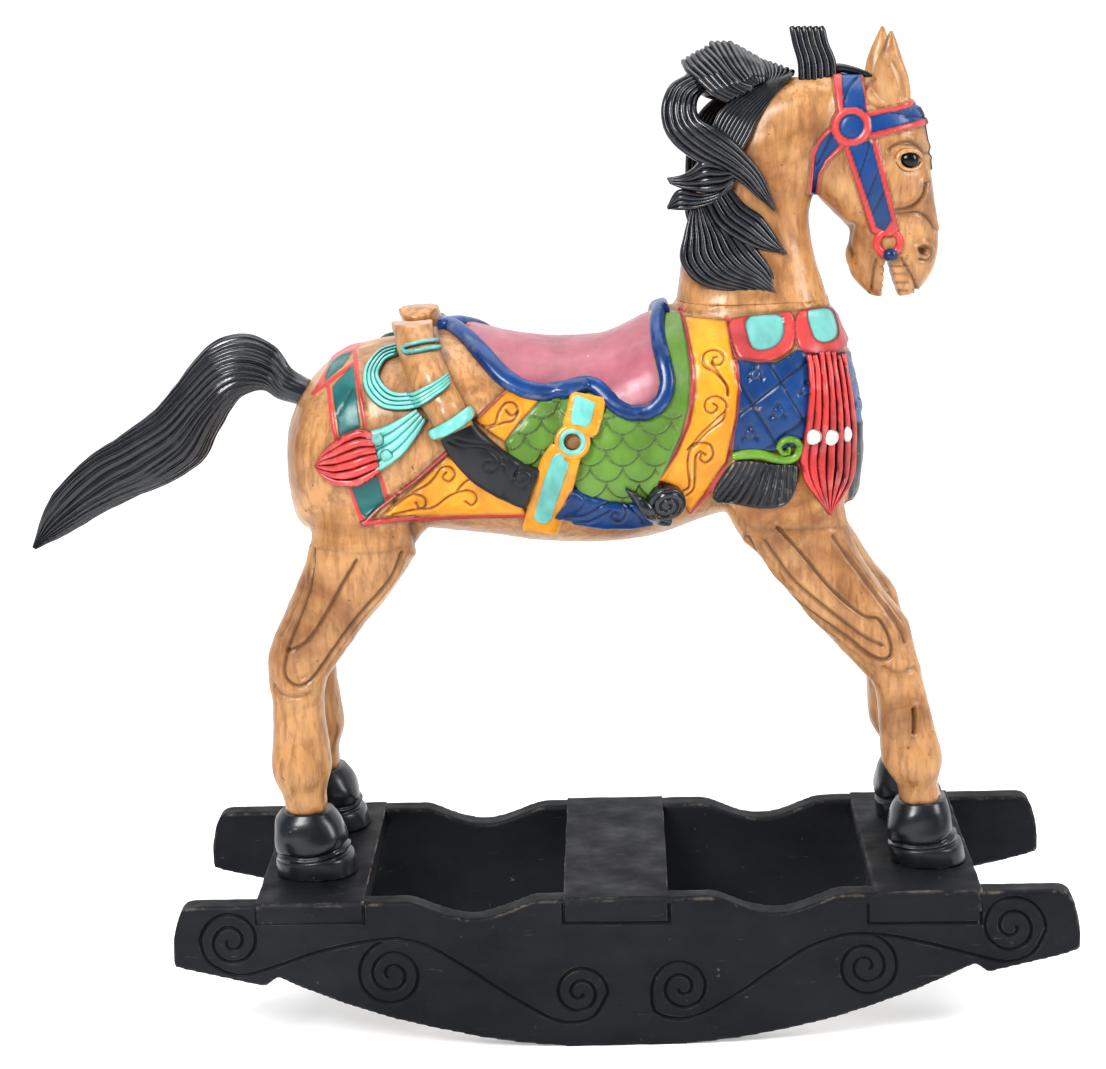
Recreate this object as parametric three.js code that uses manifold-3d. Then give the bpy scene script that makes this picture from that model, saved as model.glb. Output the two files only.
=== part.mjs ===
// Carved wooden rocking horse standing on a low stand with two curved rocker boards
import * as THREE from 'three';
import { mergeVertices } from 'three/addons/utils/BufferGeometryUtils.js';
import Module from 'manifold-3d';

const wasm = await Module();
wasm.setup();

// Stand, in millimetres
const STAND_LENGTH = 965;
const STAND_WIDTH = 350;
const BOARD_THICKNESS = 30;
const BOARD_TOP = 166;
const ROCKER_RADIUS = 830;
const ROCKER_HALF_ARC = 372;
const RESTING_FLAT = 130;
const HEEL_HEIGHT = 75;
const HEEL_SETBACK = 97;
const BLOCK_HEIGHT = 99;
const CORNER_RADIUS = 24;
const DIP_START = 91;
const DIP_LENGTH = 140;
const DIP_DEPTH = 20;
const DIP_SHARPNESS = 1.4;
const SLAB_THICKNESS = 25;
const SLAB_PROUD = 2;
const PLATFORM_LENGTH = 117;
const FOOTBOARD_LENGTH = 113;
const CORNER_STEPS = 4;
const ARC_STEPS = 8;
const DIP_STEPS = 6;
const CLEARANCE = 0.3;

// Horse: the carving rows below are millimetres at this height from soles to ear tips
const HORSE_HEIGHT = 892;
const ROW_HEIGHT = 892;
const ROW_SOLES = 168;
const OFFSET_TO_LEFT = 16;
const HIND_SOLE_X = -256;
const FORE_SOLE_X = 401;
const STAND_CENTRE_X = 79;
const FOOTBOARD_BACK = 9;

// Seams between the glued blocks, in the rows' own millimetres
const NECK_SEAM = 778;
const HIND_SEAM = 535;
const FORE_SEAM = 556;

// Relief heights of the carved trappings
const PANEL_RELIEF = 3;
const SCALLOP_RELIEF = 6;
const FRINGE_RELIEF = 5;
const BRIDLE_RELIEF = 3.5;

const WOOD = { color: 0xc98a4b, roughness: 0.5, metalness: 0 };
const BLACK = { color: 0x15171b, roughness: 0.35, metalness: 0 };

// Each row: top x, top z, bottom x, bottom z, half width, roundness power, middle y
const BODY = [
  [-275, 628, -275, 604, 22, 2.0], [-271, 656, -272, 578, 54, 2.1],
  [-259, 684, -266, 552, 82, 2.2], [-240, 708, -256, 540, 102, 2.3],
  [-212, 729, -232, 540, 113, 2.3], [-178, 740, -190, 541, 118, 2.3],
  [-140, 746, -146, 540, 118, 2.3], [-100, 754, -100, 534, 115, 2.3],
  [-60, 750, -60, 528, 112, 2.3], [-15, 743, -15, 521, 110, 2.3],
  [30, 739, 30, 517, 108, 2.3], [75, 744, 75, 516, 107, 2.3],
  [115, 762, 115, 521, 106, 2.3], [150, 771, 150, 531, 104, 2.3],
  [190, 774, 190, 545, 102, 2.4], [230, 775, 235, 551, 101, 2.5],
  [268, 774, 275, 552, 98, 2.5], [298, 770, 306, 546, 88, 2.4],
  [318, 752, 326, 546, 70, 2.3], [334, 718, 340, 568, 46, 2.2],
  [344, 672, 346, 608, 20, 2.0],
];
const NECK = [
  [128, 700, 335, 700, 92, 2.4], [146, 745, 322, 745, 72, 2.5],
  [150, 778, 312, 778, 59, 2.6], [154, 805, 303, 806, 53, 2.6],
  [158, 838, 295, 838, 50, 2.5], [168, 875, 293, 866, 47, 2.4],
  [181, 915, 298, 888, 45, 2.3], [197, 950, 306, 908, 44, 2.3],
  [218, 980, 318, 930, 43, 2.3], [246, 1001, 334, 955, 41, 2.3],
  [280, 1011, 345, 975, 35, 2.2], [318, 1008, 360, 985, 24, 2.1],
];
const HEAD = [
  [366, 1009, 290, 1013, 20, 2.0], [394, 990, 278, 998, 36, 2.2],
  [412, 967, 275, 965, 44, 2.4], [419, 935, 285, 925, 46, 2.5],
  [423, 905, 299, 890, 45, 2.5], [428, 872, 318, 868, 41, 2.4],
  [431, 845, 334, 852, 35, 2.3], [431, 828, 334, 838, 32, 2.3],
  [428, 812, 332, 822, 31, 2.3], [421, 796, 337, 801, 29, 2.2],
  [411, 784, 347, 787, 26, 2.2], [399, 776, 358, 778, 21, 2.1],
];
const EAR = [
  [397, 972, 362, 966, 13, 2.2, -24], [399, 990, 362, 982, 13, 2.1, -26],
  [397, 1010, 359, 1006, 12, 2.0, -28], [391, 1028, 361, 1024, 10, 2.0, -30],
  [385, 1046, 369, 1044, 7, 2.0, -31], [380, 1060, 377, 1060, 2, 2.0, -32],
];
const CREST = [
  [282, 1018, 282, 1008, 9, 2], [264, 1022, 259, 1004, 20, 2],
  [240, 1035, 230, 998, 29, 2], [217, 1047, 206, 990, 33, 2],
  [196, 1051, 190, 990, 33, 2], [174, 1041, 176, 997, 27, 2],
  [162, 1029, 166, 1010, 13, 2],
];
const HIND_LEG = [
  [-132, 612, -240, 604, 36, 2.4, -62], [-131, 535, -249, 535, 43, 2.4, -68],
  [-163, 479, -262, 496, 41, 2.4, -69], [-190, 448, -278, 460, 38, 2.4, -70],
  [-212, 418, -294, 430, 34, 2.4, -71], [-228, 396, -302, 408, 31, 2.4, -72],
  [-239, 378, -301, 386, 29, 2.4, -73], [-242, 350, -298, 354, 27, 2.4, -75],
  [-239, 320, -299, 320, 27, 2.4, -77], [-236, 286, -302, 284, 31, 2.4, -79],
  [-243, 264, -294, 261, 26, 2.3, -80],
  [-243, 250, -290, 250, 24, 2.3, -80], [-241, 234, -290, 234, 25, 2.3, -80],
];
const HIND_HOOF = [
  [-237, 238, -293, 238, 28, 2.3, -80], [-229, 227, -301, 227, 34, 2.3, -80],
  [-223, 212, -303, 210, 38, 2.3, -80], [-222, 198, -301, 194, 38, 2.3, -80],
  [-225, 191, -298, 186, 37, 2.3, -80], [-219, 187, -299, 182, 38, 2.3, -80],
  [-215, ROW_SOLES + CLEARANCE, -298, ROW_SOLES + CLEARANCE, 39, 2.3, -80],
];
const FORE_LEG = [
  [312, 640, 215, 640, 32, 2.4, -58], [323, 563, 199, 558, 42, 2.4, -65],
  [334, 521, 226, 513, 39, 2.4, -67], [352, 490, 254, 474, 36, 2.4, -68],
  [372, 460, 288, 438, 34, 2.4, -69], [391, 435, 319, 404, 32, 2.4, -71],
  [398, 408, 340, 380, 30, 2.4, -72], [405, 378, 354, 362, 28, 2.4, -74],
  [412, 348, 358, 332, 27, 2.4, -76], [420, 314, 360, 302, 28, 2.4, -78],
  [427, 288, 362, 280, 31, 2.4, -79], [426, 271, 369, 265, 30, 2.4, -80],
  [422, 257, 379, 250, 25, 2.3, -80], [428, 234, 380, 232, 26, 2.3, -80],
];
const FORE_HOOF = [
  [431, 237, 377, 235, 28, 2.3, -80], [435, 225, 371, 223, 34, 2.3, -80],
  [439, 208, 367, 206, 37, 2.3, -80], [441, 195, 368, 193, 37, 2.3, -80],
  [440, 190, 371, 187, 36, 2.3, -80], [446, 187, 371, 183, 38, 2.3, -80],
  [450, ROW_SOLES + CLEARANCE, 373, ROW_SOLES + CLEARANCE, 39, 2.3, -80],
];
const TAIL = [
  [-250, 700, -250, 668, 20, 2, 0], [-268, 712, -284, 680, 21, 2, 0],
  [-285, 737, -300, 690, 25, 2, 0], [-315, 752, -322, 684, 28, 2, 0],
  [-352, 743, -336, 668, 31, 2, 0], [-388, 708, -350, 645, 33, 2, 0],
  [-420, 671, -372, 612, 34, 2, 0], [-458, 643, -412, 587, 33, 2, 0],
  [-494, 622, -452, 571, 30, 2, 0], [-527, 591, -488, 555, 25, 2, 0],
  [-549, 560, -524, 534, 17, 2, 0], [-565, 520, -560, 517, 3, 2, 0],
];
const TAIL_FLUTES = 7;

const signedPower = (value, power) => Math.sign(value) * Math.abs(value) ** power;

// A row part of the way between two rows, on a smooth curve through all of them
function rowAt(rows, place) {
  const i = Math.min(Math.floor(place), rows.length - 2);
  const t = place - i;
  const before = rows[Math.max(i - 1, 0)];
  const after = rows[Math.min(i + 2, rows.length - 1)];
  return rows[i].map((p1, c) => {
    const [p0, p2, p3] = [before[c], rows[i + 1][c], after[c]];
    const bend = (2 * p0 - 5 * p1 + 4 * p2 - p3) * t * t;
    return 0.5 * (2 * p1 + (p2 - p0) * t + bend + (3 * p1 - p0 - 3 * p2 + p3) * t ** 3);
  });
}

// Point of a row's oval; zero degrees is its top, ninety its side towards the horse's right
function ovalPoint([tx, tz, bx, bz, half, power, middle = 0], degrees) {
  const angle = THREE.MathUtils.degToRad(degrees);
  const up = signedPower(Math.cos(angle), 2 / power);
  const out = signedPower(Math.sin(angle), 2 / power);
  return new THREE.Vector3(
    (tx + bx) / 2 + (up * (tx - bx)) / 2,
    middle - half * out,
    (tz + bz) / 2 + (up * (tz - bz)) / 2,
  );
}

const middleOf = (row) => ovalPoint(row, 0).add(ovalPoint(row, 180)).multiplyScalar(0.5);

// Share of a flute's depth, none on its ridge and all of it in its groove
const hollow = (turns) => 0.5 - 0.5 * Math.cos(2 * Math.PI * turns);

// Closed skin over a list of rings of points, with its faces turned outward
function skin(rings) {
  const sides = rings[0].length;
  const points = rings.flat();
  const faces = [];
  for (let i = 0; i < rings.length - 1; i += 1) {
    for (let j = 0; j < sides; j += 1) {
      const a = i * sides + j;
      const b = i * sides + ((j + 1) % sides);
      faces.push([a, b, b + sides], [a, b + sides, a + sides]);
    }
  }
  [rings[0], rings[rings.length - 1]].forEach((ring, end) => {
    const centre = points.length;
    const sum = ring.reduce((total, p) => total.add(p), new THREE.Vector3());
    points.push(sum.divideScalar(sides));
    const first = end ? (rings.length - 1) * sides : 0;
    for (let j = 0; j < sides; j += 1) {
      const [a, b] = [first + j, first + ((j + 1) % sides)];
      faces.push(end ? [a, b, centre] : [b, a, centre]);
    }
  });
  let volume = 0;
  const cross = new THREE.Vector3();
  for (const [a, b, c] of faces) {
    volume += points[a].dot(cross.crossVectors(points[b], points[c]));
  }
  const order = volume < 0 ? ([a, b, c]) => [a, c, b] : (face) => face;
  const geometry = new THREE.BufferGeometry();
  geometry.setAttribute(
    'position', new THREE.Float32BufferAttribute(points.flatMap((p) => [p.x, p.y, p.z]), 3),
  );
  geometry.setIndex(faces.flatMap(order));
  return geometry;
}

// Skin over carving rows; flutes run along it where a depth is given
function carve(rows, sides, flutes = 0, depth = 0) {
  return skin(rows.map((row) => {
    const centre = middleOf(row);
    const ring = [];
    for (let j = 0; j < sides; j += 1) {
      const inward = depth * hollow((flutes * j) / sides);
      ring.push(ovalPoint(row, (j / sides) * 360).lerp(centre, inward));
    }
    return ring;
  }));
}

// Skin moved outward along its own normals
function grown(geometry, distance) {
  const copy = geometry.clone();
  copy.computeVertexNormals();
  const position = copy.attributes.position;
  const normal = copy.attributes.normal;
  for (let i = 0; i < position.count; i += 1) {
    position.setXYZ(
      i,
      position.getX(i) + normal.getX(i) * distance,
      position.getY(i) + normal.getY(i) * distance,
      position.getZ(i) + normal.getZ(i) * distance,
    );
  }
  copy.deleteAttribute('normal');
  return copy;
}

function mirrored(geometry) {
  const copy = geometry.clone().scale(1, -1, 1);
  const index = Array.from(copy.index.array);
  for (let i = 0; i < index.length; i += 3) [index[i], index[i + 1]] = [index[i + 1], index[i]];
  copy.setIndex(index);
  return copy;
}

function solid(geometry) {
  const bare = geometry.clone();
  bare.deleteAttribute('normal');
  bare.deleteAttribute('uv');
  const merged = mergeVertices(bare, 1e-4);
  return new wasm.Manifold(new wasm.Mesh({
    numProp: 3,
    vertProperties: Float32Array.from(merged.attributes.position.array),
    triVerts: Uint32Array.from(merged.index.array),
  }));
}

const join = (parts) => parts.reduce((whole, part) => whole.add(part));

function geometryOf(manifold) {
  const { vertProperties, triVerts } = manifold.getMesh();
  const geometry = new THREE.BufferGeometry();
  geometry.setAttribute('position', new THREE.BufferAttribute(Float32Array.from(vertProperties), 3));
  geometry.setIndex(Array.from(triVerts));
  return geometry;
}

function box(x0, x1, y0, y1, z0, z1) {
  const block = new THREE.BoxGeometry(x1 - x0, y1 - y0, z1 - z0);
  return solid(block.translate((x0 + x1) / 2, (y0 + y1) / 2, (z0 + z1) / 2));
}

// Side outline in x and z, extruded right across the horse
const ACROSS = 400;
function across(outline, depth = ACROSS) {
  const shape = new THREE.Shape(outline.map(([x, z]) => new THREE.Vector2(x, z)));
  const slab = new THREE.ExtrudeGeometry(shape, { depth, bevelEnabled: false });
  return slab.rotateX(Math.PI / 2).translate(0, depth / 2, 0);
}

// Point on the barrel's right side and its outward normal, from x and the oval's angle
function barrel(x, degrees) {
  let [low, high] = [0, BODY.length - 1];
  for (let i = 0; i < 24; i += 1) {
    const middle = (low + high) / 2;
    if (ovalPoint(rowAt(BODY, middle), degrees).x < x) low = middle;
    else high = middle;
  }
  const place = Math.min(low, BODY.length - 1.01);
  const point = ovalPoint(rowAt(BODY, place), degrees);
  const along = ovalPoint(rowAt(BODY, place + 0.01), degrees).sub(point);
  const around = ovalPoint(rowAt(BODY, place), degrees + 0.5).sub(point);
  const normal = new THREE.Vector3().crossVectors(around, along).normalize();
  return { point, normal: normal.y > 0 ? normal.negate() : normal };
}

// Strip swept through stations with a centre, a facing, a half width and a half height
function sweep(stations, sides, flutes, depth) {
  const centres = stations.map((s) => s.centre);
  const rings = stations.map(({ centre, normal, wide, high }, i) => {
    const ahead = centres[Math.min(i + 1, centres.length - 1)];
    const behind = centres[Math.max(i - 1, 0)];
    const along = ahead.clone().sub(behind).normalize();
    const side = new THREE.Vector3().crossVectors(along, normal).normalize();
    const up = new THREE.Vector3().crossVectors(side, along).normalize();
    const ring = [];
    for (let j = 0; j < sides; j += 1) {
      const angle = (j / sides) * 2 * Math.PI;
      const radius = 1 - depth * hollow((flutes * j) / sides);
      ring.push(centre.clone()
        .addScaledVector(side, wide * radius * Math.cos(angle))
        .addScaledVector(up, high * radius * Math.sin(angle)));
    }
    return ring;
  });
  return skin(rings);
}

// Strip laid on the barrel; each route row is x, angle, half width, half height, lift
function laid(route, sides, flutes = 0, depth = 0) {
  const stations = route.map(([x, degrees, wide, high, lift]) => {
    const { point, normal } = barrel(x, degrees);
    return { centre: point.addScaledVector(normal, lift), normal, wide, high };
  });
  return sweep(stations, sides, flutes, depth);
}

// Strip through free points; each row is x, y, z, half width, half height
const OUTWARD = new THREE.Vector3(0, -1, 0);
function lock(route, sides, flutes = 0, depth = 0) {
  const stations = route.map(([x, y, z, wide, high]) => (
    { centre: new THREE.Vector3(x, y, z), normal: OUTWARD, wide, high }
  ));
  return sweep(stations, sides, flutes, depth);
}

const bothSides = (geometry) => [solid(geometry), solid(mirrored(geometry))];

// Barrel with the tops of the thighs and shoulders, and the root of the neck
const BODY_SIDES = 16;
const NECK_SIDES = 12;
const LEG_SIDES = 8;
const barrelSkin = carve(BODY, BODY_SIDES);
const neckSkin = carve(NECK, NECK_SIDES);
const hindLegSkin = carve(HIND_LEG, LEG_SIDES);
const foreLegSkin = carve(FORE_LEG, LEG_SIDES);
const FAR = 2000;
const above = (seam) => box(-FAR, FAR, -FAR, FAR, seam + CLEARANCE / 2, FAR);
const below = (seam) => box(-FAR, FAR, -FAR, FAR, 0, seam - CLEARANCE / 2);

// Raised panels of the saddle cloth, crupper and breast collar
const CLOTH = [
  [-190, 553], [-95, 638], [-76, 668], [-31, 704], [126, 676], [142, 776], [210, 776],
  [209, 738], [360, 738], [360, 622], [203, 620], [178, 580], [157, 559], [127, 588], [4, 592],
  [4, 566],
];
const SCALLOPS = [
  [200, 772], [207, 729], [223, 722], [239, 720], [255, 724], [270, 735], [284, 727],
  [298, 723], [312, 726], [324, 736], [360, 738], [360, 772],
];
const FRINGE = [[197, 622], [178, 578], [205, 566], [240, 557], [266, 564], [273, 596], [273, 622]];
const FRONT_FRINGE = [[331, 626], [360, 626], [360, 578], [334, 574]];

function raised(relief, ...outlines) {
  return join(outlines.map((outline) => solid(across(outline))))
    .intersect(solid(grown(barrelSkin, relief)));
}

// Rolled edge of the saddle, from behind the seat round and over the pommel
const ROLL_WIDE = 8.5;
const ROLL_HIGH = 8;
const ROLL_LIFT = 3;
const SADDLE_ROLL = [
  [-108, 0], [-100, 12], [-72, 29], [-43, 48], [-10, 57], [24, 57], [55, 55], [80, 66],
  [104, 76], [128, 74], [134, 62], [128, 40], [127, 20], [131, 0],
].map(([x, degrees]) => [x, degrees, ROLL_WIDE, ROLL_HIGH, ROLL_LIFT]);

// Hilt behind the saddle, its bands, the scabbard below it and the strap across
const HILT_RADIUS = 21;
const hiltRow = ([x, y, z], radius) => [x, y, z, radius, radius];
const HILT_LINE = [
  [-131, -48, 769], [-122, -80, 750], [-110, -106, 722], [-97, -122, 694], [-84, -128, 665],
];
const HILT = HILT_LINE.map((point) => hiltRow(point, HILT_RADIUS));
const CUFF_RADIUS = 26;
const HILT_CUFF = [3.35, 3.95].map((place) => hiltRow(rowAt(HILT_LINE, place), CUFF_RADIUS));
const SCABBARD = [
  [-90, 81, 24, 13, 5], [-52, 92, 24, 13, 5], [-12, 101, 24, 13, 5], [32, 107, 23, 12, 5],
  [76, 115, 19, 10, 5], [117, 121, 14, 9, 5],
];
const CURL_RADIUS = 20;
const CURL_THICKNESS = 26;
const CURL_AT = [133, 119];
const STRAP = [
  [53, 59, 17, 5, 6], [41, 77, 17, 5, 8], [35, 83, 16, 5, 10], [26, 91, 18, 5, 15],
  [14, 105, 18, 5, 18], [1, 122, 18, 5, 8],
];
const ROPE = [
  [-146, 31, 13, 6, 5], [-170, 39, 13, 6, 5], [-170, 57, 13, 6, 5], [-149, 66, 13, 6, 14],
  [-127, 66, 13, 6, 34], [-106, 62, 13, 6, 42], [-86, 56, 9, 5, 8],
];
const CORDS = [[-122, 72, 8, 6, 5], [-139, 82, 13, 6, 5], [-172, 90, 22, 8, 4]];
const REAR_TASSEL = [
  [-168, 90, 21, 8, 4], [-190, 91, 28, 10, 4], [-215, 92, 20, 8, 4], [-235, 92, 2, 3, 2],
];
const BREAST_TASSEL = [
  [299, 57, 20, 7, 6], [303, 76, 21, 8, 6], [304, 98, 30, 10, 6], [306, 117, 25, 9, 5],
  [312, 143, 2, 3, 1],
];
const TASSEL_FLUTES = 5;
const TASSEL_DEPTH = 0.25;
const CURL_TOP_RADIUS = 17;
const DISC_SIDES = 10;

function curl() {
  const { point, normal } = barrel(...CURL_AT);
  const disc = new THREE.CylinderGeometry(CURL_TOP_RADIUS, CURL_RADIUS, CURL_THICKNESS, DISC_SIDES);
  const turn = new THREE.Quaternion().setFromUnitVectors(new THREE.Vector3(0, 1, 0), normal);
  return disc.applyQuaternion(turn).translate(point.x, point.y, point.z);
}

const trappings = [
  laid(SADDLE_ROLL, 5), lock(HILT, 8), lock(HILT_CUFF, 8), laid(SCABBARD, 6), curl(),
  laid(STRAP, 4), laid(ROPE, 5), laid(CORDS, 5),
  laid(REAR_TASSEL, TASSEL_FLUTES * 2, TASSEL_FLUTES, TASSEL_DEPTH),
  laid(BREAST_TASSEL, TASSEL_FLUTES * 2, TASSEL_FLUTES, TASSEL_DEPTH),
];

const NECK_BACK_X = 150;
const body = join([
  solid(barrelSkin),
  solid(neckSkin),
  ...bothSides(hindLegSkin).map((thigh) => thigh.intersect(above(HIND_SEAM))),
  ...bothSides(foreLegSkin).map((shoulder) => shoulder.intersect(above(FORE_SEAM))),
  raised(PANEL_RELIEF, CLOTH), raised(SCALLOP_RELIEF, SCALLOPS),
  raised(FRINGE_RELIEF, FRINGE, FRONT_FRINGE),
  ...trappings.flatMap(bothSides),
]).intersect(below(NECK_SEAM).add(box(-FAR, NECK_BACK_X, -FAR, FAR, 0, FAR)));

// Legs below their seams, each with its hoof
const gapBody = solid(grown(barrelSkin, CLEARANCE));
function leg(skinOfLeg, hoofRows, seam) {
  const shank = solid(skinOfLeg).intersect(below(seam)).subtract(gapBody);
  return shank.add(solid(carve(hoofRows, LEG_SIDES)));
}
const hindLeg = leg(hindLegSkin, HIND_HOOF, HIND_SEAM);
const foreLeg = leg(foreLegSkin, FORE_HOOF, FORE_SEAM);

// Tail: one fluted S curve that butts against the rump
const TAIL_FLUTE_DEPTH = 0.16;
const TAIL_ROOT_X = -250;
const tail = solid(carve(TAIL, TAIL_FLUTES * 2, TAIL_FLUTES, TAIL_FLUTE_DEPTH)).subtract(gapBody)
  .intersect(box(-FAR, TAIL_ROOT_X, -FAR, FAR, 0, FAR));

// Head and neck: one block with ears, mane, forelock and bridle
const MOUTH = [[374, 822], [371, 770], [389, 770]];
const CROWNPIECE = [[312, 1030], [326, 976], [353, 974], [344, 1030]];
const BROWBAND = [[348, 978], [402, 990], [440, 992], [440, 966], [410, 961], [352, 948]];
const CHEEKPIECE = [[324, 942], [360, 854], [374, 846], [384, 856], [357, 946]];
const THROAT_LASH = [[316, 962], [296, 934], [288, 880], [304, 880], [304, 908], [327, 938]];
const DISC_RADIUS = 20;
const DISC_AT = [336, 961];
const DISC_REACH = 50;
const LOCKS = {
  sheet: [
    [270, -38, 1004, 12, 7], [240, -44, 982, 19, 8], [218, -46, 958, 17, 8], [208, -46, 932, 12, 6],
  ],
  loop: [
    [196, -30, 1020, 9, 8], [170, -34, 1016, 12, 9], [154, -40, 1000, 15, 10],
    [152, -46, 978, 16, 10], [166, -50, 955, 15, 10], [192, -53, 939, 15, 9],
    [215, -54, 922, 14, 8], [233, -53, 903, 10, 6], [254, -50, 876, 2, 3],
  ],
  flick: [
    [222, -47, 918, 14, 7], [200, -48, 910, 15, 8], [176, -48, 902, 15, 8],
    [158, -47, 896, 14, 7], [142, -46, 884, 3, 3],
  ],
  middle: [
    [192, -46, 902, 12, 7], [207, -49, 888, 15, 8], [224, -50, 870, 14, 8], [244, -50, 852, 9, 6],
    [265, -49, 831, 2, 3],
  ],
  low: [
    [182, -44, 886, 18, 7], [186, -48, 858, 28, 8], [200, -51, 832, 28, 8],
    [226, -53, 808, 16, 7], [261, -54, 785, 2, 3],
  ],
};
const LOCK_FLUTES = 3;
const LOCK_DEPTH = 0.25;
const FORELOCK_SIDES = 12;
const FORELOCK_FLUTES = 6;
const FORELOCK = [
  [300, 0, 1004, 21, 10], [298, 0, 1034, 18, 9], [294, 0, 1057, 17, 8], [293, 0, 1064, 13, 4],
];
const FORELOCK_TRAIL = [[310, 0, 1022, 7, 10], [334, 0, 1018, 6, 14], [360, 0, 1010, 5, 16]];

// The crest is ridged across, one ridge for each pair of rings
const CREST_RINGS = 11;
const CREST_GROOVE = 0.1;
const CREST_ANGLES = [0, 45, 90, 135, 180, 225, 270, 315];
function crest() {
  const rings = [];
  for (let k = 0; k < CREST_RINGS; k += 1) {
    const row = rowAt(CREST, (k / (CREST_RINGS - 1)) * (CREST.length - 1));
    const inward = k % 2 ? 0 : CREST_GROOVE;
    rings.push(CREST_ANGLES.map((degrees) => ovalPoint(row, degrees).lerp(middleOf(row), inward)));
  }
  return skin(rings);
}

const headSkin = carve(HEAD, NECK_SIDES);
const bridleBase = solid(grown(headSkin, BRIDLE_RELIEF)).add(solid(grown(neckSkin, BRIDLE_RELIEF)));
const bridle = join([CROWNPIECE, BROWBAND, CHEEKPIECE, THROAT_LASH]
  .map((outline) => solid(across(outline)))).intersect(bridleBase);
const disc = new THREE.CylinderGeometry(DISC_RADIUS, DISC_RADIUS, DISC_REACH * 2, DISC_SIDES)
  .translate(DISC_AT[0], 0, DISC_AT[1]);
const strands = (route) => lock(route, LOCK_FLUTES * 2, LOCK_FLUTES, LOCK_DEPTH);
const nearLocks = [LOCKS.sheet, LOCKS.loop, LOCKS.flick].map((route) => solid(strands(route)));
const pairedLocks = [LOCKS.middle, LOCKS.low].flatMap((route) => bothSides(strands(route)));
const headAndNeck = join([
  solid(headSkin), solid(neckSkin), ...bothSides(carve(EAR, 6)),
  solid(crest()), solid(lock(FORELOCK, FORELOCK_SIDES, FORELOCK_FLUTES, LOCK_DEPTH)),
  solid(lock(FORELOCK_TRAIL, 5)), ...nearLocks, ...pairedLocks, bridle, solid(disc),
]).subtract(solid(across(MOUTH))).intersect(above(NECK_SEAM));

// Stand: two rocker boards, two platforms under the hooves and a footboard between
const slabTop = BOARD_TOP + SLAB_PROUD;
const scale = HORSE_HEIGHT / ROW_HEIGHT;
const slabs = {
  rear_platform: [HIND_SOLE_X * scale, PLATFORM_LENGTH],
  middle_footboard: [STAND_CENTRE_X - FOOTBOARD_BACK, FOOTBOARD_LENGTH],
  front_platform: [FORE_SOLE_X * scale, PLATFORM_LENGTH],
};

function slab(centre, length, gap) {
  const half = length / 2 + gap;
  const reach = STAND_WIDTH / 2 + (gap ? BOARD_THICKNESS : 0);
  const underside = slabTop - SLAB_THICKNESS - gap;
  return box(centre - half, centre + half, -reach, reach, underside, slabTop + gap);
}

// Half of the board's outline, from the resting flat out to the middle of the top
function halfOutline() {
  const end = STAND_LENGTH / 2;
  const sink = ROCKER_RADIUS - Math.sqrt(ROCKER_RADIUS ** 2 - (RESTING_FLAT / 2) ** 2);
  const arc = (x) => ROCKER_RADIUS - sink - Math.sqrt(ROCKER_RADIUS ** 2 - x ** 2);
  const points = [];
  for (let k = 0; k <= ARC_STEPS; k += 1) {
    const x = RESTING_FLAT / 2 + ((ROCKER_HALF_ARC - RESTING_FLAT / 2) * k) / ARC_STEPS;
    points.push([x, arc(x)]);
  }
  points.push([end - HEEL_SETBACK, HEEL_HEIGHT], [end, BLOCK_HEIGHT]);
  points.push([end, BOARD_TOP - 2 * CORNER_RADIUS]);
  const corner = new THREE.QuadraticBezierCurve(
    new THREE.Vector2(end - CORNER_RADIUS / 5, BOARD_TOP - CORNER_RADIUS),
    new THREE.Vector2(end - CORNER_RADIUS / 3, BOARD_TOP),
    new THREE.Vector2(end - CORNER_RADIUS * 1.2, BOARD_TOP),
  );
  points.push(...corner.getPoints(CORNER_STEPS).map(({ x, y }) => [x, y]));
  for (let k = 0; k <= DIP_STEPS; k += 1) {
    const t = 1 - k / DIP_STEPS;
    const fall = Math.sin(Math.PI * t) ** DIP_SHARPNESS;
    points.push([DIP_START + DIP_LENGTH * t, BOARD_TOP - DIP_DEPTH * fall]);
  }
  return points;
}

function rocker(side) {
  const half = halfOutline();
  const outline = [...half, ...half.map(([x, z]) => [-x, z]).reverse()]
    .map(([x, z]) => [x + STAND_CENTRE_X, z]);
  const middle = (side * (STAND_WIDTH - BOARD_THICKNESS)) / 2;
  const board = solid(across(outline, BOARD_THICKNESS).translate(0, middle, 0));
  return Object.values(slabs)
    .reduce((cut, [x, length]) => cut.subtract(slab(x, length, CLEARANCE)), board);
}

// Scene graph, moved so that the footprint's middle is the origin
const horse = new THREE.Group();

function piece(name, geometry, finish) {
  const mesh = new THREE.Mesh(geometry, new THREE.MeshStandardMaterial(finish));
  mesh.name = name;
  return mesh;
}

const figure = new THREE.Group();
figure.position.set(0, OFFSET_TO_LEFT, slabTop - ROW_SOLES * scale);
figure.scale.setScalar(scale);
figure.add(
  piece('body', geometryOf(body), WOOD),
  piece('head_and_neck', geometryOf(headAndNeck), WOOD),
  piece('tail', geometryOf(tail), BLACK),
  piece('hind_leg_right', geometryOf(hindLeg), WOOD),
  piece('hind_leg_left', mirrored(geometryOf(hindLeg)), WOOD),
  piece('foreleg_right', geometryOf(foreLeg), WOOD),
  piece('foreleg_left', mirrored(geometryOf(foreLeg)), WOOD),
);
horse.add(figure);
horse.add(piece('rocker_right', geometryOf(rocker(-1)), BLACK));
horse.add(piece('rocker_left', geometryOf(rocker(1)), BLACK));
for (const [name, [x, length]] of Object.entries(slabs)) {
  horse.add(piece(name, geometryOf(slab(x, length, 0)), BLACK));
}
horse.updateMatrixWorld(true);
const bounds = new THREE.Box3().setFromObject(horse);
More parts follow.
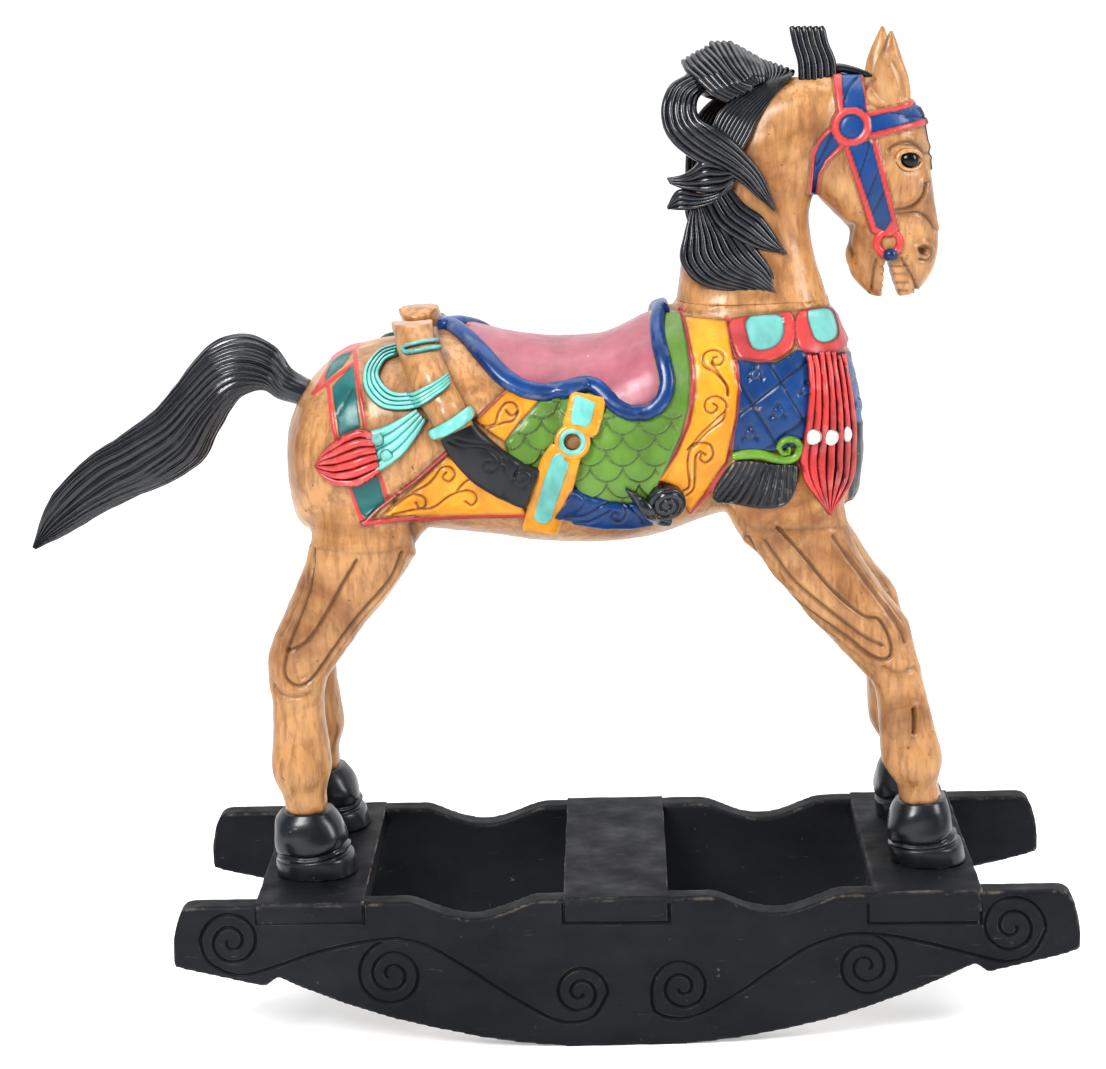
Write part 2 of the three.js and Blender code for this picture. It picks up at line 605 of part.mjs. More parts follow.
horse.position.x = -(bounds.min.x + bounds.max.x) / 2;

export default horse;
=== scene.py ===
# Carved wooden rocking horse on a low stand, finished in detail around its CAD frame
import math
from contextlib import contextmanager

import bmesh
import bpy
import numpy as np
from mathutils import Matrix, Vector
from mathutils.bvhtree import BVHTree


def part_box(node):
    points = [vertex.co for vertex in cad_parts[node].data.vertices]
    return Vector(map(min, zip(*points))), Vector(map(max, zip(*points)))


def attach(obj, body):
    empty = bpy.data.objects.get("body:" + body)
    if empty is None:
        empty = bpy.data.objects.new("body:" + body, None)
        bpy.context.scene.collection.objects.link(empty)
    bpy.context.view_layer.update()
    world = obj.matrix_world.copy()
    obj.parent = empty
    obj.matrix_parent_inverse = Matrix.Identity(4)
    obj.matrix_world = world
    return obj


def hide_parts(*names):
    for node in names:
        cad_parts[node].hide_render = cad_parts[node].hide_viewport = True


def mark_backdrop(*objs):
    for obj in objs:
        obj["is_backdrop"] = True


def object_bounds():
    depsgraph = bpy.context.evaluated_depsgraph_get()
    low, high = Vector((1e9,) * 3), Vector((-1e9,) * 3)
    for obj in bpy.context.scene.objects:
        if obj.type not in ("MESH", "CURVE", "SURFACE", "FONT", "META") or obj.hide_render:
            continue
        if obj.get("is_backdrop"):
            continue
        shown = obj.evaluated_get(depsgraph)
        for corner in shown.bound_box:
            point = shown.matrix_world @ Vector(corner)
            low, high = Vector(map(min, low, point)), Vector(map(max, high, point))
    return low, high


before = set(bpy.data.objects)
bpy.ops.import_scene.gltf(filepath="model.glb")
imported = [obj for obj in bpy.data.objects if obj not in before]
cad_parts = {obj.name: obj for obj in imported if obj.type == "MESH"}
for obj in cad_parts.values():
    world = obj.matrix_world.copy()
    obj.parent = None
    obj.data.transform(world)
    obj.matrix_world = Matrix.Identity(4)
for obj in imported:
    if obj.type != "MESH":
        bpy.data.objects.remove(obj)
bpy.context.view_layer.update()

# Carving rows in millimetres: top x, top z, bottom x, bottom z, half width, power, middle y
BODY = [
  [-275, 628, -275, 604, 22, 2.0], [-271, 656, -272, 578, 54, 2.1],
  [-259, 684, -266, 552, 82, 2.2], [-240, 708, -256, 540, 102, 2.3],
  [-212, 729, -232, 540, 113, 2.3], [-178, 740, -190, 541, 118, 2.3],
  [-140, 746, -146, 540, 118, 2.3], [-100, 754, -100, 534, 115, 2.3],
  [-60, 750, -60, 528, 112, 2.3], [-15, 743, -15, 521, 110, 2.3],
  [30, 739, 30, 517, 108, 2.3], [75, 744, 75, 516, 107, 2.3],
  [115, 762, 115, 521, 106, 2.3], [150, 771, 150, 531, 104, 2.3],
  [190, 774, 190, 545, 102, 2.4], [230, 775, 235, 551, 101, 2.5],
  [268, 774, 275, 552, 98, 2.5], [298, 770, 306, 546, 88, 2.4],
  [318, 752, 326, 546, 70, 2.3], [334, 718, 340, 568, 46, 2.2],
  [344, 672, 346, 608, 20, 2.0],
]
NECK = [
  [128, 700, 335, 700, 92, 2.4], [146, 745, 322, 745, 72, 2.5],
  [150, 778, 312, 778, 59, 2.6], [154, 805, 303, 806, 53, 2.6],
  [158, 838, 295, 838, 50, 2.5], [168, 875, 293, 866, 47, 2.4],
  [181, 915, 298, 888, 45, 2.3], [197, 950, 306, 908, 44, 2.3],
  [218, 980, 318, 930, 43, 2.3], [246, 1001, 334, 955, 41, 2.3],
  [280, 1011, 345, 975, 35, 2.2], [318, 1008, 360, 985, 24, 2.1],
]
HEAD = [
  [366, 1009, 290, 1013, 20, 2.0], [394, 990, 278, 998, 36, 2.2],
  [412, 967, 275, 965, 44, 2.4], [419, 935, 285, 925, 46, 2.5],
  [423, 905, 299, 890, 45, 2.5], [428, 872, 318, 868, 41, 2.4],
  [431, 845, 334, 852, 35, 2.3], [431, 828, 334, 838, 32, 2.3],
  [428, 812, 332, 822, 31, 2.3], [421, 796, 337, 801, 29, 2.2],
  [411, 784, 347, 787, 26, 2.2], [399, 776, 358, 778, 21, 2.1],
]
EAR = [
  [397, 972, 362, 966, 13, 2.2, -24], [399, 990, 362, 982, 13, 2.1, -26],
  [397, 1010, 359, 1006, 12, 2.0, -28], [391, 1028, 361, 1024, 10, 2.0, -30],
  [385, 1046, 369, 1044, 7, 2.0, -31], [380, 1060, 377, 1060, 2, 2.0, -32],
]
CREST = [
  [282, 1018, 282, 1008, 9, 2], [264, 1022, 259, 1004, 20, 2],
  [240, 1035, 230, 998, 29, 2], [217, 1047, 206, 990, 33, 2],
  [196, 1051, 190, 990, 33, 2], [174, 1041, 176, 997, 27, 2],
  [162, 1029, 166, 1010, 13, 2],
]
HIND_LEG = [
  [-132, 612, -240, 604, 36, 2.4, -62], [-131, 535, -249, 535, 43, 2.4, -68],
  [-163, 479, -262, 496, 41, 2.4, -69], [-190, 448, -278, 460, 38, 2.4, -70],
  [-212, 418, -294, 430, 34, 2.4, -71], [-228, 396, -302, 408, 31, 2.4, -72],
  [-239, 378, -301, 386, 29, 2.4, -73], [-242, 350, -298, 354, 27, 2.4, -75],
  [-239, 320, -299, 320, 27, 2.4, -77], [-236, 286, -302, 284, 31, 2.4, -79],
  [-243, 264, -294, 261, 26, 2.3, -80],
  [-243, 250, -290, 250, 24, 2.3, -80], [-241, 234, -290, 234, 25, 2.3, -80],
]
HIND_HOOF = [
  [-237, 238, -293, 238, 28, 2.3, -80], [-229, 227, -301, 227, 34, 2.3, -80],
  [-223, 212, -303, 210, 38, 2.3, -80], [-222, 198, -301, 194, 38, 2.3, -80],
  [-225, 191, -298, 186, 37, 2.3, -80], [-219, 187, -299, 182, 38, 2.3, -80],
  [-215, 168.3, -298, 168.3, 39, 2.3, -80],
]
FORE_LEG = [
  [312, 640, 215, 640, 32, 2.4, -58], [323, 563, 199, 558, 42, 2.4, -65],
  [334, 521, 226, 513, 39, 2.4, -67], [352, 490, 254, 474, 36, 2.4, -68],
  [372, 460, 288, 438, 34, 2.4, -69], [391, 435, 319, 404, 32, 2.4, -71],
  [398, 408, 340, 380, 30, 2.4, -72], [405, 378, 354, 362, 28, 2.4, -74],
  [412, 348, 358, 332, 27, 2.4, -76], [420, 314, 360, 302, 28, 2.4, -78],
  [427, 288, 362, 280, 31, 2.4, -79], [426, 271, 369, 265, 30, 2.4, -80],
  [422, 257, 379, 250, 25, 2.3, -80], [428, 234, 380, 232, 26, 2.3, -80],
]
FORE_HOOF = [
  [431, 237, 377, 235, 28, 2.3, -80], [435, 225, 371, 223, 34, 2.3, -80],
  [439, 208, 367, 206, 37, 2.3, -80], [441, 195, 368, 193, 37, 2.3, -80],
  [440, 190, 371, 187, 36, 2.3, -80], [446, 187, 371, 183, 38, 2.3, -80],
  [450, 168.3, 373, 168.3, 39, 2.3, -80],
]
TAIL = [
  [-250, 700, -250, 668, 20, 2, 0], [-268, 712, -284, 680, 21, 2, 0],
  [-285, 737, -300, 690, 25, 2, 0], [-315, 752, -322, 684, 28, 2, 0],
  [-352, 743, -336, 668, 31, 2, 0], [-388, 708, -350, 645, 33, 2, 0],
  [-420, 671, -372, 612, 34, 2, 0], [-458, 643, -412, 587, 33, 2, 0],
  [-494, 622, -452, 571, 30, 2, 0], [-527, 591, -488, 555, 25, 2, 0],
  [-549, 560, -524, 534, 17, 2, 0], [-565, 520, -560, 517, 3, 2, 0],
]

# The horse's own frame sits this far from the row frame, in millimetres
SHIFT = np.array([1.75, 16.0, 0.0])
SEAM_GAP = 0.3
NECK_SEAM = 778

# Drawing plane: a fixed projection from the right side, in drawing units
EYE = np.array([86.2, -3113.8, 1227.4])
FOCAL = 2910.76
CENTRE = (553.0, 534.5)
PITCH, ROLL, YAW = (math.radians(a) for a in (12.781, -1.6246, -1.4031))
AIM = np.array([math.sin(YAW) * math.cos(PITCH), math.cos(YAW) * math.cos(PITCH), -math.sin(PITCH)])
_level = np.array([math.cos(YAW), -math.sin(YAW), 0.0])
_rise = np.cross(_level, AIM)
RIGHT = _level * math.cos(ROLL) + _rise * math.sin(ROLL)
UP = -_level * math.sin(ROLL) + _rise * math.cos(ROLL)


def drawn(points):
    """Drawing coordinates of horse points; the left side is folded on to the right."""
    q = np.array(points, float)
    q[:, 1] = -np.abs(q[:, 1])
    d = q - EYE
    depth = d @ AIM
    return np.c_[CENTRE[0] + FOCAL * (d @ RIGHT) / depth, CENTRE[1] - FOCAL * (d @ UP) / depth]


def sight(u, v):
    d = RIGHT * (u - CENTRE[0]) / FOCAL - UP * (v - CENTRE[1]) / FOCAL + AIM
    return d / np.linalg.norm(d)


def on_plane(u, v, y):
    """Horse point at a drawing point and a chosen sideways place."""
    d = sight(u, v)
    return EYE + d * (y - EYE[1]) / d[1]


def curve(points, steps=8, closed=False):
    """Smooth curve through points, of any dimension."""
    p = np.array(points, float)
    n = len(p)
    spans = n if closed else n - 1
    out = []
    for i in range(spans):
        if closed:
            a, b, c, d = p[i - 1], p[i], p[(i + 1) % n], p[(i + 2) % n]
        else:
            a, b, c, d = p[max(i - 1, 0)], p[i], p[i + 1], p[min(i + 2, n - 1)]
        for t in np.arange(steps) / steps:
            bend = (2 * a - 5 * b + 4 * c - d) * t * t
            out.append(0.5 * (2 * b + (c - a) * t + bend + (3 * b - a - 3 * c + d) * t ** 3))
    if not closed:
        out.append(p[-1])
    return np.array(out)


def line_distance(p, line):
    best = np.full(len(p), 1e9)
    for a, b in zip(line[:-1], line[1:]):
        ab = b - a
        t = np.clip(((p - a) @ ab) / max(ab @ ab, 1e-9), 0, 1)
        best = np.minimum(best, np.linalg.norm(p - a - t[:, None] * ab, axis=1))
    return best


def bell(distance, width):
    """One at no distance, fading to nothing over about twice the width."""
    return np.exp(-(distance / width) ** 2)


def rounded(outline, rounds=2):
    """Closed outline with its corners cut."""
    points = np.array(outline, float)
    for _ in range(rounds):
        after = np.roll(points, -1, 0)
        points = np.stack([0.75 * points + 0.25 * after, 0.25 * points + 0.75 * after], 1).reshape(-1, 2)
    return points


def area_distance(p, outline):
    """Distance to an outline, negative inside it."""
    a = np.array(outline, float)
    b = np.roll(a, -1, 0)
    inside = np.zeros(len(p), bool)
    for (x0, y0), (x1, y1) in zip(a, b):
        crosses = (y0 > p[:, 1]) != (y1 > p[:, 1])
        at = x0 + (p[:, 1] - y0) * (x1 - x0) / (y1 - y0 if y1 != y0 else 1e-9)
        inside ^= crosses & (p[:, 0] < at)
    d = line_distance(p, np.vstack([a, a[:1]]))
    return np.where(inside, -d, d)


def to_lines(p, lines, steps=4):
    """Distance to the nearest of some drawn lines."""
    return np.min([line_distance(p, curve(line, steps)) for line in lines], 0)


def to_areas(p, *outlines):
    """Distance to the nearest of some outlines, negative inside."""
    return np.min([area_distance(p, a) for a in outlines], 0)


def smooth(t):
    t = np.clip(t, 0, 1)
    return t * t * (3 - 2 * t)


def within(distance, soft):
    """One inside an outline and nothing outside, over a soft border."""
    return smooth(0.5 - distance / soft)


# Mesh helpers; shapes are pairs of points in millimetres and faces
def shift_of(stand):
    return np.zeros(3) if stand else SHIFT


def skin(rings, caps=True):
    rings = np.array(rings, float)
    n, sides = rings.shape[:2]
    points = rings.reshape(-1, 3)
    faces = []
    for i in range(n - 1):
        for j in range(sides):
            a, b = i * sides + j, i * sides + (j + 1) % sides
            faces.append((a, b, b + sides, a + sides))
    if caps:
        for end in (0, n - 1):
            centre = len(points)
            points = np.vstack([points, rings[end].mean(0)])
            for j in range(sides):
                a, b = end * sides + j, end * sides + (j + 1) % sides
                faces.append((a, b, centre) if end else (b, a, centre))
    return points, faces


def squared(angle, power):
    """Cosine and sine of a rounded rectangle."""
    c, s = np.cos(angle), np.sin(angle)
    return np.sign(c) * np.abs(c) ** power, np.sign(s) * np.abs(s) ** power


def circle(sides):
    return np.arange(sides) / sides * 2 * np.pi


def section(row, angle):
    """Ring on a carving row: its middle x, reach in x, reach sideways, z and share of the way forward."""
    tx, tz, bx, bz, half, power, _ = row
    up, out = squared(angle, 2 / power)
    return (tx + bx) / 2, up * (tx - bx) / 2, half * out, (tz + bz) / 2 + up * (tz - bz) / 2, up


def loft(rows, sides, steps):
    rings = []
    for row in curve([list(r) + [0] * (7 - len(r)) for r in rows], steps):
        x, reach, out, z, _ = section(row, circle(sides))
        rings.append(np.c_[x + reach, row[6] - out, z])
    return skin(rings)


def face_axes(normal):
    """Level and rising directions in the plane across a normal."""
    side = np.cross(normal, [0, 0, 1.0])
    side /= np.linalg.norm(side)
    return side, np.cross(side, normal)


def torus(at, normal, side, up, reach, tube, flat=1.0, sides=12):
    rings = []
    for a in np.linspace(0, 2 * math.pi, 49):
        out = math.cos(a) * side + math.sin(a) * up
        rings.append([at + reach * out + tube * (math.cos(b) * out + flat * math.sin(b) * normal)
                      for b in circle(sides)])
    return skin(rings, caps=False)


def mirror(shape):
    return shape[0] * [1, -1, 1], [tuple(reversed(f)) for f in shape[1]]


def both(shape):
    return [shape, mirror(shape)]


def merge(shapes):
    points, faces, start = [], [], 0
    for p, f in shapes:
        points.append(np.array(p, float))
        faces += [tuple(i + start for i in face) for face in f]
        start += len(p)
    return np.vstack(points), faces


@contextmanager
def edited(mesh):
    bm = bmesh.new()
    bm.from_mesh(mesh)
    yield bm
    bm.to_mesh(mesh)
    bm.free()
    mesh.update()


def shade_soft(mesh):
    mesh.polygons.foreach_set("use_smooth", [True] * len(mesh.polygons))


def make(name, shape, stand=False):
    """Object from a shape; stand pieces are given in the row frame already."""
    points, faces = shape
    mesh = bpy.data.meshes.new(name)
    mesh.from_pydata(((np.array(points) + shift_of(stand)) / 1000).tolist(), [], faces)
    with edited(mesh) as bm:
        bmesh.ops.recalc_face_normals(bm, faces=bm.faces)
    shade_soft(mesh)
    obj = bpy.data.objects.new(name, mesh)
    bpy.context.collection.objects.link(obj)
    return obj


def bake(obj):
    bpy.context.view_layer.update()
    evaluated = obj.evaluated_get(bpy.context.evaluated_depsgraph_get())
    mesh = bpy.data.meshes.new_from_object(evaluated)
    obj.modifiers.clear()
    obj.data = mesh


def fuse(obj, voxel, rounds):
    """One skin over overlapping shells, then softened."""
    remesh = obj.modifiers.new("fuse", "REMESH")
    remesh.mode = "VOXEL"
    remesh.voxel_size = voxel / 1000
    soften = obj.modifiers.new("soften", "SMOOTH")
    soften.factor = 0.5
    soften.iterations = rounds
    bake(obj)
    shade_soft(obj.data)


def points_of(obj, stand=False):
    n = len(obj.data.vertices)
    co, no = np.empty(n * 3), np.empty(n * 3)
    obj.data.vertices.foreach_get("co", co)
    obj.data.vertices.foreach_get("normal", no)
    return co.reshape(-1, 3) * 1000 - shift_of(stand), no.reshape(-1, 3)


def move_to(obj, points, stand=False):
    obj.data.vertices.foreach_set("co", ((points + shift_of(stand)) / 1000).ravel())
    obj.data.update()


def store(obj, name, values):
    if name in obj.data.attributes:
        obj.data.attributes.remove(obj.data.attributes[name])
    attribute = obj.data.attributes.new(name, "FLOAT", "POINT")
    attribute.data.foreach_set("value", np.asarray(values, np.float32))


def refine(obj, chosen):
    """Halves the faces whose middles a test picks out."""
    with edited(obj.data) as bm:
        middles = np.array([f.calc_center_median() for f in bm.faces]) * 1000 - SHIFT
        picked = [f for f, yes in zip(bm.faces, chosen(middles)) if yes]
        edges = list(dict.fromkeys(e for f in picked for e in f.edges))
        bmesh.ops.subdivide_edges(bm, edges=edges, cuts=1, use_grid_fill=True)
    shade_soft(obj.data)


def cut(obj, height, facing):
    """Keeps what lies below (1) or above (-1) a level and closes it."""
    with edited(obj.data) as bm:
        done = bmesh.ops.bisect_plane(
            bm, geom=bm.verts[:] + bm.edges[:] + bm.faces[:], clear_outer=True,
            plane_co=Vector((np.array([0, 0, height]) + SHIFT) / 1000), plane_no=Vector((0, 0, facing)))
        bmesh.ops.holes_fill(bm, edges=[e for e in done["geom_cut"] if isinstance(e, bmesh.types.BMEdge)])


def close(obj):
    """Fills the open ends and turns every face outwards."""
    with edited(obj.data) as bm:
        bmesh.ops.holes_fill(bm, edges=[e for e in bm.edges if e.is_boundary])
        bmesh.ops.triangulate(bm, faces=[f for f in bm.faces if len(f.verts) > 4])
        bmesh.ops.recalc_face_normals(bm, faces=bm.faces)


def tree_of(*objects):
    points, faces, start = [], [], 0
    for obj in objects:
        p, _ = points_of(obj)
        points += p.tolist()
        faces += [[i + start for i in f.vertices] for f in obj.data.polygons]
        start += len(p)
    return BVHTree.FromPolygons(points, faces)


def touch(tree, u, v):
    """Surface point and normal under a drawing point."""
    hit = tree.ray_cast(Vector(EYE), Vector(sight(u, v)))
    if hit[0] is None:
        return None
    return np.array(hit[0]), np.array(hit[1])


def sweep(centres, normals, wides, highs, sides=10, power=1.0):
    centres, normals = np.array(centres), np.array(normals)
    last = len(centres) - 1
    wides, highs = (np.broadcast_to(v, last + 1) for v in (wides, highs))
    c, s = squared(circle(sides), power)
    rings = []
    for i, centre in enumerate(centres):
        along = centres[min(i + 1, last)] - centres[max(i - 1, 0)]
        along /= np.linalg.norm(along) + 1e-9
        side = np.cross(along, normals[i])
        side /= np.linalg.norm(side) + 1e-9
        up = np.cross(side, along)
        rings.append(centre + np.outer(c * wides[i], side) + np.outer(s * highs[i], up))
    return skin(rings)


def spread(value, place):
    """One value for each place along a route, from a number or a list."""
    return np.interp(place, np.linspace(0, 1, np.size(value)), np.atleast_1d(np.array(value, float)))


def laid(tree, route, wide, high, lift=0.0, steps=8, rounds=3, **options):
    """Strip that follows the surface under a drawing route; widths may change along it."""
    line = curve(route, steps)
    found = [touch(tree, u, v) for u, v in line]
    kept = [k for k, hit in enumerate(found) if hit]
    centres, normals = (np.array([found[k][i] for k in kept]) for i in (0, 1))
    for _ in range(rounds):
        for row in (normals, centres):
            row[1:-1] = (row[:-2] + 2 * row[1:-1] + row[2:]) / 4
    normals /= np.linalg.norm(normals, axis=1)[:, None]
    place = np.array(kept) / (len(line) - 1)

    return sweep(centres + normals * spread(lift, place)[:, None], normals, spread(wide, place),
                 spread(high, place), **options)


def free(route, wide, high, steps=8, **options):
    """Strip through points in space, facing the right side."""
    line = curve(route, steps)
    place = np.linspace(0, 1, len(line))
    return sweep(line, np.tile([0.0, -1.0, 0.0], (len(line), 1)), spread(wide, place), spread(high, place),
                 **options)


def between(edge_a, edge_b):
    """Two drawn edges brought to the same number of points."""
    edges = curve(edge_a), curve(edge_b)
    place = np.linspace(0, 1, max(len(e) for e in edges))
    return [np.column_stack([spread(e[:, i], place) for i in (0, 1)]) for e in edges]


def side_by_side(tree, edge_a, edge_b, count, high, lift, arch=0.0, rounds=3):
    """Strands that fill the room between two drawn edges, laid on a surface, on both sides."""
    a, b = between(edge_a, edge_b)
    gap = np.linalg.norm(a - b, axis=1)
    picks = list(range(0, len(a), 3))
    shapes = []
    for k in range(count):
        share = (k + 0.5) / count
        line = a + (b - a) * share
        radii = np.maximum(gap / count * 0.62, 0.7)[picks]
        raised = spread(lift, np.linspace(0, 1, len(picks)))
        raised += arch * (1 - (2 * share - 1) ** 2) * radii / max(radii)
        shapes += both(laid(tree, line[picks], radii, np.maximum(radii * high, 1.2), raised, steps=4,
                            sides=12, rounds=rounds))
    return shapes


def paint_valley_shade(obj, facing=None, tree=None, clear=0.82, deep=0.52):
    """Painted shade in the valleys between strands: stores as dark how far each point turns away from the way
    the strands face.
    """
    points, normals = points_of(obj)
    if tree is not None:
        facing = np.array([tree.find_nearest(Vector(q))[1] for q in points])
    else:
        facing = facing(points)
    facing = facing / (np.linalg.norm(facing, axis=1)[:, None] + 1e-9)
    turned = np.sum(normals * facing, 1)
    store(obj, "dark", smooth((clear - turned) / (clear - deep)))


# Depth of the scabbard's lines in millimetres
LEATHER_SINK = 1.6

# Enlarged drawings: left, top and scale
SADDLE = (380, 280, 4.9)
BREAST = (660, 280, 6.03)
FACE = (780, 0, 4.9)
RUMP = (280, 320, 5.6)
HIND = (240, 500, 4.126)
FORE = (700, 480, 3.733)


def zoom(view, points):
    left, top, scale = view
    return np.array(points, float) / scale + [left, top]


def zoomed(view, *routes):
    return [zoom(view, route) for route in routes]


# Saddle, cloth and collar outlines
SEAT = zoom(SADDLE, [
    (385, 190), (520, 320), (640, 430), (760, 512), (870, 530), (1000, 497), (1080, 507), (1150, 560),
    (1210, 603), (1290, 608), (1338, 570), (1350, 500), (1330, 400), (1312, 300), (1305, 150),
    (1310, -400), (380, -400)])
ROLL_LINE = zoom(SADDLE, [
    (250, 208), (340, 228), (430, 295), (520, 392), (600, 478), (700, 537), (800, 556), (900, 543),
    (1000, 520), (1060, 530), (1112, 578), (1170, 628), (1250, 655), (1330, 640), (1388, 580),
    (1408, 500), (1390, 400), (1366, 300), (1362, 210), (1385, 128)])
REAR_UPPER = zoom(SADDLE, [(625, 545), (790, 580), (690, 690), (610, 790), (560, 760), (470, 690)])
REAR_LOWER = zoom(SADDLE, [
    (5, 1158), (330, 865), (420, 900), (520, 980), (640, 1040), (720, 1133), (400, 1142)])
GREEN = zoom(SADDLE, [
    (785, 590), (900, 540), (1000, 520), (1100, 590), (1200, 660), (1300, 670), (1400, 610),
    (1430, 500), (1405, 350), (1385, 250), (1400, 165), (1475, 165), (1503, 300), (1522, 450),
    (1512, 620), (1475, 760), (1420, 885), (1366, 990), (1330, 1100), (1180, 1100), (960, 1100),
    (700, 1100), (610, 790)])
GREEN_EDGE = zoom(SADDLE, [
    (1477, 140), (1512, 300), (1532, 450), (1528, 620), (1490, 770), (1430, 890), (1372, 990),
    (1330, 1060)])
BAND = zoom(BREAST, [
    (150, 225), (400, 245), (440, 480), (470, 640), (455, 830), (395, 1090), (260, 1290), (175, 1390),
    (60, 1230), (-10, 1200), (100, 1050), (180, 860), (218, 680), (205, 480)])
BAND_EDGE = zoom(BREAST, [
    (405, 235), (435, 400), (460, 540), (468, 680), (448, 860), (400, 1080), (310, 1250), (180, 1395)])
QUILT = zoom(BREAST, [
    (440, 480), (700, 500), (830, 420), (890, 450), (1240, 420), (1240, 900), (840, 960), (820, 1000),
    (700, 1030), (440, 1030), (470, 700)])
SCALLOP_ONE = zoom(BREAST, [
    (395, 250), (500, 222), (720, 205), (805, 190), (815, 395), (760, 450), (700, 480), (620, 505),
    (520, 490), (460, 480)])
SCALLOP_TWO = zoom(BREAST, [
    (805, 190), (930, 172), (1025, 155), (1120, 330), (1120, 380), (1085, 430), (1040, 455),
    (960, 465), (880, 450), (815, 400)])
INLAY_ONE = zoom(BREAST, [
    (497, 212), (725, 205), (747, 280), (742, 350), (705, 405), (640, 430), (580, 432), (540, 405)])
INLAY_TWO = zoom(BREAST, [
    (868, 200), (900, 178), (1010, 172), (1040, 240), (1056, 310), (1050, 355), (1000, 385),
    (945, 385), (905, 340)])
FRINGE = zoom(BREAST, [
    (420, 1085), (560, 1075), (700, 1110), (840, 1105), (835, 1200), (800, 1310), (760, 1360),
    (640, 1385), (420, 1345), (280, 1320)])
FRONT_FRINGE = zoom(BREAST, [(1165, 860), (1260, 820), (1260, 1330), (1120, 1320)])
FRONT_GREEN = zoom(BREAST, [(1165, 800), (1260, 780), (1260, 905), (1165, 905)])
CRUPPERS = [zoom(RUMP, c) for c in (
    [(250, 352), (288, 238), (342, 202), (402, 182), (362, 252)],
    [(293, 372), (412, 258), (450, 602), (400, 622), (334, 658)],
    [(398, 926), (546, 868), (588, 1012), (494, 1108), (455, 1085)])]
CRUPPER_EDGES = [zoom(RUMP, c) for c in (
    [(188, 412), (270, 352), (432, 238)], [(212, 385), (262, 290), (300, 222), (400, 172), (440, 140)],
    [(274, 372), (286, 480), (302, 600), (320, 684)], [(418, 182), (434, 300), (460, 480), (484, 620)],
    [(392, 925), (420, 1020), (458, 1124)], [(556, 862), (580, 930), (600, 1004)])]
REAR_EDGES = [zoom(RUMP, c) for c in (
    [(1278, 392), (1190, 470), (1100, 556)], [(940, 738), (760, 890), (590, 1018), (468, 1144)],
    [(468, 1140), (700, 1112), (1000, 1092), (1370, 1080)])]

ROPE_OUT = zoom(RUMP, [(650, 150), (560, 180), (490, 260), (470, 340), (490, 420), (560, 490), (650, 508),
                       (760, 495), (850, 450), (915, 400), (948, 362)])
ROPE_IN = zoom(RUMP, [(665, 210), (600, 235), (565, 290), (560, 330), (590, 380), (650, 415), (740, 410),
                      (830, 375), (895, 332), (930, 300)])
CORDS_TOP = [(416, 409.5), (400, 419), (384, 427), (366, 432)]
CORDS_LOW = [(427, 419.5), (415, 438), (400, 456), (377, 472)]
TASSEL_TOP = [(315.5, 465.5), (323, 454), (334, 443), (348, 433), (362, 429), (374.5, 433.5)]
TASSEL_LOW = [(315.5, 466.5), (322, 475), (337, 483), (354, 484), (367, 479), (381.5, 470.5)]
# Lines round which painted shade, a brown halo, falls on the bare wood
SHADE_HALOS = [ROPE_OUT, ROPE_IN, CORDS_TOP, CORDS_LOW, TASSEL_TOP, TASSEL_LOW,
         [(395, 330), (400, 372), (422, 412), (434, 440)],
         [(434, 320), (440, 345), (452, 375), (470, 405)]]

# Incised scrolls
SCROLLS = zoomed(
    SADDLE, [(10, 1155), (90, 1090), (160, 1045), (215, 1060), (225, 1095), (195, 1110), (175, 1085)],
    [(60, 1150), (170, 1120), (260, 1110), (330, 1060), (400, 1030), (455, 1035), (475, 1070), (450, 1100),
     (420, 1080)],
    [(160, 1035), (230, 1000), (270, 960), (300, 920), (345, 915), (368, 950), (340, 985), (308, 965),
     (325, 940)],
    [(380, 1025), (420, 985), (470, 965)],
    [(500, 715), (560, 705), (580, 650), (615, 605), (655, 605), (675, 640), (645, 665), (615, 640)],
    [(525, 730), (600, 700), (650, 690), (675, 650)]) + zoomed(
    BREAST, [(405, 690), (395, 630), (330, 560), (265, 520), (260, 460), (300, 428), (350, 430), (382, 465),
             (365, 510), (325, 510), (318, 475), (345, 465)],
    [(410, 700), (405, 640), (350, 560), (310, 500)],
    [(165, 1020), (250, 920), (350, 830), (400, 770), (380, 720), (330, 700), (275, 730), (275, 785),
     (320, 800), (345, 765), (320, 745)],
    [(200, 1000), (290, 910), (370, 850), (395, 800)],
    [(140, 1265), (175, 1230), (165, 1100), (185, 1010), (240, 980), (300, 990), (318, 1050), (280, 1095),
     (240, 1075), (255, 1040), (275, 1050)],
    [(160, 1290), (200, 1250), (210, 1150), (215, 1060), (245, 1030)])

# Carved folds: route and half width in drawing units, depth in millimetres
BODY_FOLDS = [
    ([(392, 500), (410, 520), (418, 545)], 4, 2.5),
    ([(309, 545), (330, 551), (380, 553), (424, 540)], 1.2, 0.0),
    ([(728, 505), (742, 520), (760, 530), (845, 527)], 2.0, 0.8),
]
HIND_FOLDS = [
    (zoom(HIND, [(305, 200), (290, 350), (250, 470), (215, 560), (182, 680), (192, 738), (240, 768),
                 (300, 738), (400, 600), (500, 470), (620, 330), (668, 220)]), 1.7, 2.2),
    (zoom(HIND, [(480, 250), (410, 370), (350, 480), (290, 570), (240, 610), (195, 622)]), 1.7, 1.9),
    (zoom(HIND, [(140, 760), (170, 800), (230, 815), (290, 800)]), 2.2, 1.2),
    (zoom(HIND, [(300, 250), (240, 420), (170, 560)]), 2.4, 0.9),
]
